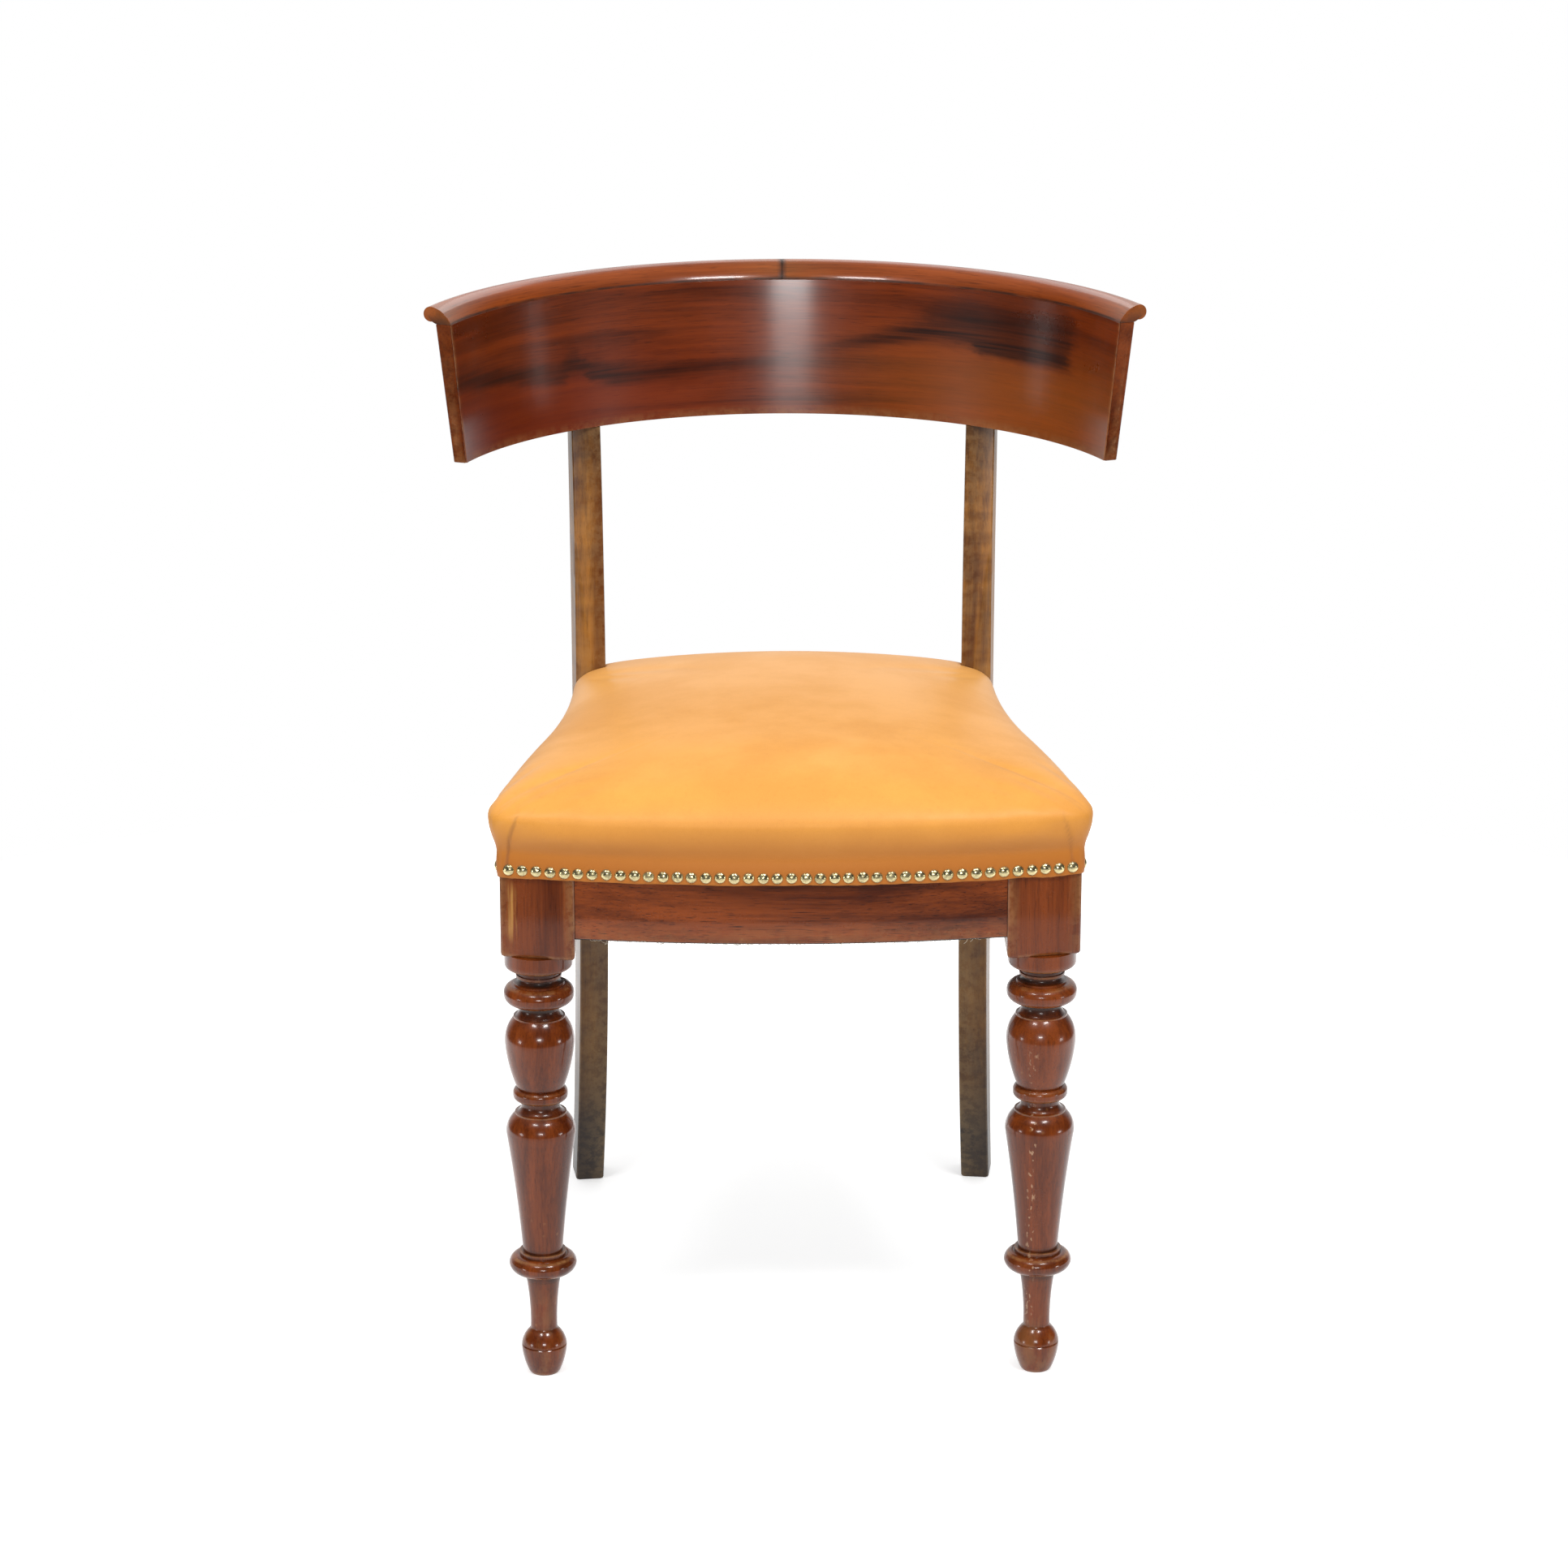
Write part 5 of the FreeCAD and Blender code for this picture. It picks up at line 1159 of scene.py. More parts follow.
def leg_profile():
    """The whole turning, and how rubbed and how hollow it is at each point."""
    t = Turning(11.0)
    t.straight(12.2, 1.6)
    t.bend(15.3, 8.4, 17.3, 18.5)
    t.straight(17.3, 2.2)
    t.groove(0.7, 1.5)
    t.bend(15.9, 5.0, 11.6, 11.4)
    t.straight(10.3, 1.6)
    t.bend(10.9, 23.3, 14.0, 46.7)
    t.ring(25.8, 14.5, 15.0, 17.8)
    t.straight(17.8, 3.2)
    t.straight(15.1, 0)
    taper = BLOCK_BOTTOM - t.points[-1][1] - (15.4 + 10.8 + 10 + 56.7 + 11.1 + 15.5 + 1.2 + 11.6 + 13.6)
    t.bend(19.85, taper * 0.5, 26.4, taper)
    t.bend(24.6, 9.24, 19.6, 15.4)
    t.straight(19.6, 1.2)
    t.straight(18.0, 0)
    t.bend(14.6, 6.7, 15.4, 9.6)
    t.ring(20.8, 10.0, 17.0, 17.8)
    t.bend(23.55, 18.1, 26.5, 36.86)
    t.bend(24.8, 11.3, 19.6, 19.84)
    t.straight(19.6, 1.2)
    t.straight(18.0, 0)
    t.bend(15.2, 6.9, 16.0, 9.9)
    t.ring(26.8, 15.5, 17.6, 19.6)
    t.straight(19.0, 1.2)
    t.bend(15.2, 2.45, 15.6, 4.9)
    t.straight(17.4, 0)
    t.straight(17.4, 1.8)
    t.straight(16.4, 0)
    t.straight(16.4, 4.9)
    t.straight(21.5, 0)
    t.bend(24.8, 1.26, 26.0, 4.2)
    t.straight(26.0, 9.4)
    points = [t.points[0]]
    points += [p for before, p in zip(t.points, t.points[1:]) if np.linalg.norm(p - before) > 0.05]
    radii, heights = np.array([p[0] for p in points]), np.array([p[1] for p in points])
    wear, recess = [], []
    for r, z in zip(radii, heights):
        near = np.abs(heights - z) < 1.8
        wide = np.abs(heights - z) < 7
        wear.append(np.clip((r - radii[near].mean()) / 1.1 - 0.15, 0, 1))
        recess.append(np.clip((radii[wide].mean() - r) / 3.6 - 0.1, 0, 1))
    points.append(np.array([0.0, BLOCK_BOTTOM]))
    return points, [*wear, 0.0], [*recess, 0.0]


def block_plan():
    """Plan of the right block: bowed front, serpentine side, square inside, small round corners."""
    front_x = side_x(CORNER_Y)
    corner = np.array([front_x, bow_y(front_x)])
    front = [np.array([x, bow_y(x)]) for x in np.linspace(BLOCK_INNER_X + ARRIS, front_x - 3, 7)]
    side = [np.array([side_x(y), y]) for y in np.linspace(corner[1] + 3, BLOCK_REAR_Y - ARRIS, 7)]
    bend = list(rounded_corner(front[-1], corner, side[0])[2:-1:2])
    rear = np.array([side_x(BLOCK_REAR_Y), BLOCK_REAR_Y])
    inner_rear = np.array([BLOCK_INNER_X, BLOCK_REAR_Y])
    inner_front = np.array([BLOCK_INNER_X, bow_y(BLOCK_INNER_X)])
    points = front + bend + side + [rear - [ARRIS, 0], inner_rear + [ARRIS, 0], inner_rear - [0, ARRIS],
                                    inner_front + [0, ARRIS]]
    worn = [1.0] + [0.0] * 5 + [0.6] + [1.0] * len(bend) + [0.6] + [0.0] * 5 + [1.0] * 5
    return np.array(points), np.array(worn)


def make_front_legs(settings, segments):
    """The two front legs: a spun turning and the square block above it, as one piece each."""
    points, wear, recess = leg_profile()
    material = mahogany(settings, "leg")
    plan, worn = block_plan()
    middle = plan.mean(axis=0)
    rings, masks = [], []
    for z, inset, rub in ((BLOCK_BOTTOM - 0.01, 2.2, 1.0), (BLOCK_BOTTOM + 0.5, 0.9, 1.0),
                          (BLOCK_BOTTOM + 1.6, 0.25, 0.7), (BLOCK_BOTTOM + 3.2, 0, 0), (380, 0, 0),
                          (NAIL_LINE_Z, 0, 0), (RAIL_TOP, 0, 0)):
        shrunk = middle + (plan - middle) * (1 - inset / (BLOCK_REAR_Y + 2))
        rings.append([[*p, z] for p in shrunk])
        masks.append(np.maximum(worn, rub))
    for sign, side in SIDES:
        name = "front_leg_" + side
        turned = spun(name, profile_mesh(name, points, False, wear, recess), False,
                      (sign * LEG_CENTRE_X, 0), 0.0, 2 * math.pi, segments, material, smooth_angle=40)
        block = np.array(rings) * [sign, 1, 1]
        mesh = lofted("block", block)
        layer = mesh.attributes["wear"]
        layer.data.foreach_set("value", np.concatenate(masks))
        mesh.materials.append(material)
        joined_mesh(turned, mesh)
        finished(turned, None, [name])


def joined_mesh(obj, mesh):
    """Adds a second shell to a piece's own mesh."""
    bm = bmesh.new()
    bm.from_mesh(obj.data)
    bm.from_mesh(mesh)
    bm.to_mesh(obj.data)
    bm.free()
    bpy.data.meshes.remove(mesh)
    obj.data.set_sharp_from_angle(angle=math.radians(40))


# Rear posts

def sweep_line(low_z, low, mid, high_z, high):
    """Travel of a sawn edge through three points, as a function of height."""
    a, b, c = (low, low_z), (mid, (low_z + high_z) / 2), (high, high_z)
    points = np.array([a, *arc_points(a, b, c, 4.0)])
    return lambda z: float(np.interp(z, points[:, 1], points[:, 0]))


def crest_radii(z):
    return CREST_RADIUS + CREST_THICKNESS_LOW + (CREST_FLARE + CREST_THICKNESS_HIGH - CREST_THICKNESS_LOW) * (
        z - CREST_BOTTOM) / (CREST_TOP - CREST_BOTTOM)


def stile_travel():
    """Travel at which a post's outer front edge meets the outside of the crest rail."""
    travel = 0.0
    for _ in range(20):
        x = POST_CENTRE_X + POST_HALF * math.cos(POST_TOE) + travel * math.sin(POST_TOE)
        rail_y = CREST_CENTRE_Y + math.sqrt(crest_radii(CREST_BOTTOM) ** 2 - x * x)
        travel = (rail_y - 1.0 - POST_FRONT_Y + POST_HALF * math.sin(POST_TOE)) / math.cos(POST_TOE)
    return travel


def make_rear_posts(settings):
    """The two rear posts: sabre leg and stile in one, faceted outside above the seat."""
    travel = stile_travel()
    foot_back = SABRE_TRAVEL + SABRE_FOOT_DEPTH
    back_sweep = foot_back - POST_SEAT_DEPTH
    stile_back = travel + STILE_DEPTH
    leg_front = sweep_line(0, SABRE_TRAVEL, SABRE_TRAVEL * SWEEP_AT_HALF, SABRE_START_Z, 0)
    leg_back = sweep_line(0, foot_back, POST_SEAT_DEPTH + back_sweep * SWEEP_AT_HALF, SABRE_START_Z,
                          POST_SEAT_DEPTH)
    stile_front = sweep_line(STILE_START_Z, 0, travel * SWEEP_AT_HALF, CREST_BOTTOM, travel)
    stile_rear = sweep_line(STILE_START_Z, POST_SEAT_DEPTH,
                            POST_SEAT_DEPTH + (stile_back - POST_SEAT_DEPTH) * SWEEP_AT_HALF, CREST_BOTTOM,
                            stile_back)
    top_front, top_back = travel + STILE_TOP_TRAVEL, travel + STILE_TOP_TRAVEL + STILE_TOP_DEPTH

    def front(z):
        if z > CREST_BOTTOM:
            return travel + (top_front - travel) * (z - CREST_BOTTOM) / (STILE_TOP_Z - CREST_BOTTOM)
        return leg_front(z) if z < SABRE_START_Z else 0.0 if z < STILE_START_Z else stile_front(z)

    def back(z):
        if z > CREST_BOTTOM:
            return stile_back + (top_back - stile_back) * (z - CREST_BOTTOM) / (STILE_TOP_Z - CREST_BOTTOM)
        return leg_back(z) if z < SABRE_START_Z else POST_SEAT_DEPTH if z < STILE_START_Z else stile_rear(z)

    levels = [0, 0.5, 1.6, *np.linspace(12, SABRE_START_Z, 26), 340, 380, 420, *np.linspace(436, 600, 40),
              *np.linspace(612, CREST_BOTTOM - 0.1, 6), CREST_BOTTOM + 0.1, *np.linspace(680, 764, 8), 768,
              STILE_TOP_Z]
    r = 1.8                         # of the edges that are not faceted
    cos, sin = math.cos(POST_TOE), math.sin(POST_TOE)
    rings = []
    for z in levels:
        near, far = front(z), back(z)
        share = np.clip((z - FACET_LOW_Z) / FACET_RISE, 0, 1)
        fade = (1 - share) * np.clip((z - FACET_LOW_Z + 8) / 8, 0, 1)
        cut = max(ARRIS, FACET_WIDTH * fade)
        deep = max(ARRIS, FACET_DEPTH * fade)
        tuck = {0: 1.6, 0.5: 0.6}.get(z, 0.0) + (0.5 if z == STILE_TOP_Z else 0.0)
        half = POST_HALF - tuck
        section = [(-half, near + r), (-half + 0.25 * r, near + 0.25 * r), (-half + r, near),
                   (half - cut - 0.5, near), (half - cut * 0.9, near + deep * 0.04),
                   (half - cut * 0.5, near + deep * 0.5), (half - cut * 0.08, near + deep * 0.92),
                   (half, near + deep + 0.5), (half, (near + far) / 2), (half, far - r),
                   (half - 0.25 * r, far - 0.25 * r), (half - r, far), (0, far), (-half + r, far),
                   (-half + 0.25 * r, far - 0.25 * r), (-half, far - r), (-half, (near + far) / 2)]
        ring = []
        for across, run in section:
            x, y = POST_CENTRE_X + across * cos + run * sin, POST_FRONT_Y - across * sin + run * cos
            if z > CREST_BOTTOM:
                limit = crest_radii(z) + 0.05
                while math.hypot(x, y - CREST_CENTRE_Y) < limit:
                    x, y = x + 0.05 * sin, y + 0.05 * cos
            ring.append([x, y, z])
        rings.append(ring)
    mask = np.array([0.7, 1, 0.7, 0.2, 0.5, 0.3, 0.5, 0.2, 0, 0.7, 1, 0.7, 0, 0.7, 1, 0.7, 0])
    for sign, side in SIDES:
        name = "rear_post_" + side
        mesh = lofted(name, np.array(rings) * [sign, 1, 1], mask, smooth_angle=28)
        finished(new_object(name, mesh), birch(settings), [name])


# Seat frame

def make_seat_frame(settings):
    """Front, side and rear rails. The corner blocks inside keep their own shapes."""
    xs = np.linspace(-BLOCK_INNER_X + 0.35, BLOCK_INNER_X - 0.35, 61)
    outers = [(x, bow_y(x, -FRONT_RAIL_RECESS)) for x in xs]
    rings, mask = rail_rings(outers, [(x, FRONT_RAIL_INNER_Y) for x in xs])
    piece = new_object("front_seat_rail", lofted("front_seat_rail", rings, mask))
    finished(piece, mahogany(settings, "rail"), ["front_seat_rail"])

    ys = np.linspace(BLOCK_REAR_Y + 0.3, POST_FRONT_Y - 0.3, 61)
    outers = [(side_x(y), y) for y in ys]
    rings, mask = rail_rings(outers, [(side_x(y, -RAIL_THICKNESS), y) for y in ys])
    for sign, side in SIDES:
        name = "side_seat_rail_" + side
        piece = new_object(name, lofted(name, np.array(rings) * [sign, 1, 1], mask))
        finished(piece, side_pine(settings), [name])

    def end(y):
        return POST_CENTRE_X - POST_HALF / math.cos(POST_TOE) + (y - POST_FRONT_Y) * math.tan(POST_TOE) - 0.3

    shares = np.linspace(-1, 1, 21)
    rings, mask = rail_rings([(s * end(REAR_RAIL_OUTER_Y), REAR_RAIL_OUTER_Y) for s in shares],
                             [(s * end(REAR_RAIL_INNER_Y), REAR_RAIL_INNER_Y) for s in shares])
    piece = new_object("rear_seat_rail", lofted("rear_seat_rail", rings, mask))
    finished(piece, mahogany(settings, "rail"), ["rear_seat_rail"])

    for side in ("left", "right"):
        for end_name in ("front", "rear"):
            covered(frame["nodes"][f"corner_block_{end_name}_{side}"].data, pine(settings))


# Fixings

def make_fixings(settings, metal):
    """Screws and their wooden plugs."""
    steel = metal_finish("Plain steel", metal.steel, (0.12, 0.08, 0.05), 0.35, 0.6)
    for name in ("corner_block_screws", "crest_screws"):
        covered(frame["nodes"][name].data, steel)
    covered(frame["nodes"]["crest_screw_plugs"].data, birch(settings))


def stud_row(name, places, radius, height, material, seed, segments=14, rings=10):
    """Domed heads at bench places with their outward directions."""
    base = new_mesh(name, place([p for p, _ in places]), out=[d for _, d in places])
    mesh = grown(name, base, group_named("studs"), {
        "Head Radius": radius * MM, "Head Height": height * MM, "Segments": segments, "Rings": rings,
        "Tilt": 0.06, "Variation": 0.04, "Seed": seed, "Finish": material})
    finished(new_object(name, tidy(mesh, 50)), None, [name])


def nail_places(pitch, radius):
    """Bench places of the nails on the leather, row by row."""
    bow = BOW_RADIUS + SKIN
    corner = 3.0 + radius
    sweep = math.asin((FRONT_HALF_WIDTH - corner) / bow)
    gaps = round(2 * sweep * bow / pitch)
    front = []
    for i in range(gaps + 1):
        a = sweep * (2 * i / gaps - 1)
        out = np.array([math.sin(a), -math.cos(a), 0])
        front.append((np.array([0, BOW_CENTRE_Y, NAIL_LINE_Z]) + out * bow, out))
    first, last = CORNER_Y + corner, POST_FRONT_Y - POST_GAP - radius
    gaps = round((last - first) / pitch)
    right = []
    for y in np.linspace(first, last, gaps + 1):
        right.append((np.array([side_x(y, SKIN), y, NAIL_LINE_Z]), side_out(min(y, POST_FRONT_Y - 1))))
    half = POST_CENTRE_X - POST_HALF - 2 * radius
    gaps = round(2 * half / pitch)
    rear = [(np.array([x, REAR_RAIL_OUTER_Y + SKIN, NAIL_LINE_Z]), np.array([0.0, 1.0, 0.0]))
            for x in np.linspace(-half, half, gaps + 1)]
    left = [(p * [-1, 1, 1], d * [-1, 1, 1]) for p, d in right]
    return {"front": front, "right": right, "rear": rear, "left": left}


def wandered(places, seed, amount):
    """Nails set by hand stray a little along and across their line."""
    strayed = []
    for k, (point, out) in enumerate(places):
        shift, lift = [amount * noise.noise(Vector((k * 1.37, seed, layer))) for layer in (0.5, 7.5)]
        along = np.array([-out[1], out[0], 0])
        strayed.append((point + along * shift + np.array([0, 0, lift]) + out * 0.03, out))
    return strayed


def make_nails(metal):
    """The rows of domed brass nails, one piece for each side of the seat."""
    brass = metal_finish("Antiqued brass", metal.brass_bright, metal.brass_dark, metal.brass_roughness, 0.45)
    radius = metal.nail_radius / MM
    for seed, (side, places) in enumerate(nail_places(metal.nail_pitch / MM, radius).items()):
        stud_row("seat_nails_" + side, wandered(places, seed, 0.45), radius, metal.nail_height / MM, brass,
                 11 + seed)


# Upholstery

COUNTS = (64, 64)


def seat_rings():
    """Rings of the leather from its hem up to the crown: plan points and heights."""
    rings = []
    for z in (HEM_Z, 409.5, 411.5, NAIL_LINE_Z, 416.0, 420.0, 425.0, STUFFING_BOTTOM):
        rings.append((outline(SKIN, 3.0 + SKIN, counts=COUNTS), z))
    for share in (0.3, 0.6, 0.85):
        grow = SKIN + (SEAT_BULGE - 0.2) * math.sin(share * math.pi / 2)
        rear = SKIN + SEAT_BULGE_AT_POSTS * share
        rings.append((outline(grow, 4.4 + (SEAT_CORNER - 4.4) * share, rear, COUNTS),
                      STUFFING_BOTTOM + (SEAT_BULGE_Z - STUFFING_BOTTOM) * share))
    steps = 17
    for i in range(steps):
        share = i / (steps - 1)
        z = SEAT_BULGE_Z + (SEAT_CROWN_Z - 0.6 + SKIN - SEAT_BULGE_Z) * (1 - (1 - share) ** SEAT_FULLNESS)
        inset = SKIN - SEAT_CROWN_INSET * share ** SEAT_CROWN_EASE
        rings.append((outline(SEAT_BULGE + inset, SEAT_CORNER + SEAT_CORNER_GROWTH * share,
                              SEAT_BULGE_AT_POSTS + inset, COUNTS), z))
    return rings


def relaxed(obj, pinned, cap, frames=20):
    """Blows the cover up a little against its pinned edge, and keeps each point within the cap."""
    group = obj.vertex_groups.new(name="pinned")
    for index, weight in enumerate(pinned):
        if weight > 0:
            group.add([index], float(weight), "REPLACE")
    before = np.array([v.co for v in obj.data.vertices])
    cloth = obj.modifiers.new("Stuffing", "CLOTH")
    cloth.settings.quality = 6
    cloth.settings.mass = 0.4
    cloth.settings.tension_stiffness = 25
    cloth.settings.compression_stiffness = 25
    cloth.settings.shear_stiffness = 12
    cloth.settings.bending_stiffness = 3
    cloth.settings.use_pressure = True
    cloth.settings.uniform_pressure_force = 4
    cloth.settings.vertex_group_mass = "pinned"
    cloth.settings.effector_weights.gravity = 0
    cloth.point_cache.frame_start, cloth.point_cache.frame_end = 1, frames
    for number in range(1, frames + 1):
        bpy.context.scene.frame_set(number)
    graph = bpy.context.evaluated_depsgraph_get()
    after = np.array([v.co for v in obj.evaluated_get(graph).data.vertices])
    obj.modifiers.remove(cloth)
    bpy.context.scene.frame_set(1)
    move = after - before
    size = np.linalg.norm(move, axis=1, keepdims=True)
    move *= cap / np.maximum(size + cap, 1e-9)
    obj.data.vertices.foreach_set("co", (before + move).ravel())
    obj.data.update()


# Pleats at the front corners, placed by the way along the seat's edge: the front is below 0, the
# corner runs from 0 to 22 and the side starts there.
FOLDS = (
    # side, place at the nails, place at the top, top height, width, depth, face that stands over the other
    (-1, 25.5, 24.0, 466.0, 8.0, 1.7, -1),
    (-1, 6.5, -3.0, 468.0, 10.0, 0.75, 1),
    (1, 24.0, 22.0, 464.0, 8.0, 1.5, -1),
    (1, 5.0, -3.5, 466.0, 11.0, 0.45, 1),
)


def corner_way(points):
    """How far along the edge of the seat each point lies, and the direction out of the seat there."""
    dx = np.abs(points[:, 0]) - (FRONT_HALF_WIDTH - 14)
    dy = CORNER_Y + 14 - points[:, 1]
    angle = np.arctan2(np.maximum(dx, 0), np.maximum(dy, 1e-6))
    way = np.where(dx < 0, dx, np.where(dy < 0, 22 - dy, angle / (math.pi / 2) * 22))
    out = np.stack([np.sign(points[:, 0]) * np.sin(angle), -np.cos(angle)], axis=1)
    return way, out


def fold_leather(points):
    """Pleats at the two front corners. Returns the moved points and a mask of the creases, where the leather
    gets painted shade.
    """
    crease = np.zeros(len(points))
    shift = np.zeros(len(points))
    way, out = corner_way(points)
    for side, low_at, high_at, high_z, width, depth, over in FOLDS:
        share = np.clip((points[:, 2] - NAIL_LINE_Z) / (high_z - NAIL_LINE_Z), -0.2, 1)
        off = (way - low_at - (high_at - low_at) * share - 1.5 * np.sin(share * math.pi)) * over
        fade = np.clip((high_z - points[:, 2]) / 22, 0, 1) * np.clip((points[:, 2] - HEM_Z) / 5, 0, 1)
        fade = fade * fade * (3 - 2 * fade) * (side * points[:, 0] > 100) * (points[:, 1] < 60)
        flap = np.where(off > 0, np.exp(-off / width), -0.5 * np.exp(off / 1.8))
        shift += depth * fade * flap
        crease = np.maximum(crease, fade * np.exp(-((off + 0.4) / 0.8) ** 2) * min(0.85, depth * 0.62))
    moved = points.copy()
    moved[:, :2] += out * shift[:, None]
    return moved, crease


PUCKER_REACH = 12


def pucker(points, places, radius, depth):
    """The leather sinks a little round each nail."""
    moved = points.copy()
    low = points[:, 2] < RAIL_TOP
    for place_point, out in places:
        near = low & (np.abs(points[:, :2] - place_point[:2]) < PUCKER_REACH).all(axis=1)
        if not near.any():
            continue
        gap = np.linalg.norm(points[near] - place_point, axis=1)
        lift = 0.5 * depth * np.exp(-((gap - 1.5 * radius) / radius) ** 2)
        moved[near] += out * lift[:, None]
    return moved


def domed(points):
    """Rounds the flat middle of the crown: high in the middle, falling to both sides."""
    share = np.clip((points[:, 2] - SEAT_BULGE_Z) / (SEAT_CROWN_Z - SEAT_BULGE_Z), 0, 1)
    rise = SEAT_DOME * (0.75 - 2.5 * (points[:, 0] / 136) ** 2 - 0.3 * ((points[:, 1] - 120) / 210) ** 2)
    raised = points.copy()
    raised[:, 2] += share ** 2 * np.maximum(rise, -2.4 * SEAT_DOME)
    return raised


def make_leather(settings, metal):
    """The leather cover over its stuffing, as one stuffed form that is open below the nails."""
    rings = seat_rings()
    ring_size = 2 * sum(COUNTS)
    points = [np.column_stack([clear_of_posts(plan, POST_GAP), np.full(ring_size, z)]) for plan, z in rings]
    inner = patch(rings[-1][0], COUNTS)[1:-1, 1:-1].reshape(-1, 2)
    points.append(np.column_stack([inner, np.full(len(inner), rings[-1][1])]))
    points = domed(np.concatenate(points))
    faces = []
    for level in range(len(rings) - 1):
        a = level * ring_size
        faces += [(a + k, a + (k + 1) % ring_size, a + ring_size + (k + 1) % ring_size, a + ring_size + k)
                  for k in range(ring_size)]
    last = (len(rings) - 1) * ring_size
    faces += patch_faces(COUNTS, last, last + ring_size)
    pinned = np.clip((STUFFING_BOTTOM + 8 - points[:, 2]) / 8, 0, 1)
    for sign in (-1, 1):
        beside = np.hypot(sign * points[:, 0] - POST_CENTRE_X, points[:, 1] - POST_FRONT_Y)
        pinned = np.maximum(pinned, np.clip((34 - beside) / 14, 0, 1))
    mesh = new_mesh("leather_cover", place(points), faces)
    obj = new_object("leather_cover", mesh)
    relaxed(obj, pinned, settings.swell)
    finer = obj.modifiers.new("Finer", "SUBSURF")
    finer.levels = finer.render_levels = 1
    graph = bpy.context.evaluated_depsgraph_get()
    smooth = bpy.data.meshes.new_from_object(obj.evaluated_get(graph), depsgraph=graph)
    obj.modifiers.remove(finer)
    obj.data = smooth
    bpy.data.meshes.remove(mesh)
    points = np.array([v.co for v in smooth.vertices]) / MM + [0, ORIGIN_Y, 0]
    points[:, :2] = clear_of_posts(points[:, :2], POST_GAP * 0.6)
    points, crease = fold_leather(points)
    for places in nail_places(metal.nail_pitch / MM, metal.nail_radius / MM).values():
        points = pucker(points, places, metal.nail_radius / MM, 0.8)
    hem = points[:, 2] < HEM_Z + 1
    for index in np.nonzero(hem)[0]:
        at = Vector(points[index]) * 0.06
        points[index][2] += 0.8 * noise.noise(at) + 0.4 * noise.noise(at * 5)
    smooth.vertices.foreach_set("co", place(points).ravel())
    # The crease mask is kept as recess: where the leather gets painted shade
    layer = smooth.attributes.new("recess", "FLOAT", "POINT")
    layer.data.foreach_set("value", crease)
    tidy(smooth, 180)
    smooth.name = "leather_cover"
    wall = obj.modifiers.new("Thickness", "SOLIDIFY")
    wall.thickness = (SKIN - 0.1) * MM
    wall.offset = -1
    wall.use_even_offset = False
    finished(obj, leather_finish(settings), ["leather_cover", "seat_stuffing"])


# Platform under the stuffing

def cloth_sheet(name, grow, z, thickness, sag, material, seed):
    """A cloth stretched over the frame: flat at its edge, a little slack in the middle."""
    counts = (40, 40)
    ring = clear_of_posts(outline(grow, 3.0, counts=counts, crowd=0.0), POST_GAP)
    inner = patch(ring, counts)[1:-1, 1:-1].reshape(-1, 2)
    plan = np.concatenate([ring, inner])
    if sag:
        from_side = FRONT_HALF_WIDTH - 40 - np.abs(plan[:, 0])
        inset = np.minimum(np.minimum(from_side, plan[:, 1]), 340 - plan[:, 1])
        hang = np.clip(inset / 90, 0, 1) ** 0.7 * sag
    else:
        hang = np.zeros(len(plan))
    waves = np.array([noise.noise(Vector((x * 0.02, y * 0.02, seed))) for x, y in plan]) * min(0.3, sag)
    points = np.column_stack([plan, z - hang - np.abs(waves)])
    mesh = new_mesh(name, place(points), patch_faces(counts, 0, len(ring)))
    obj = new_object(name, tidy(mesh, 180, outward=False))
    if obj.data.polygons[0].normal.z < 0:
        obj.data.flip_normals()
    wall = obj.modifiers.new("Thickness", "SOLIDIFY")
    wall.thickness = thickness * MM
    wall.offset = -1
    finished(obj, material, [name])
    return ring


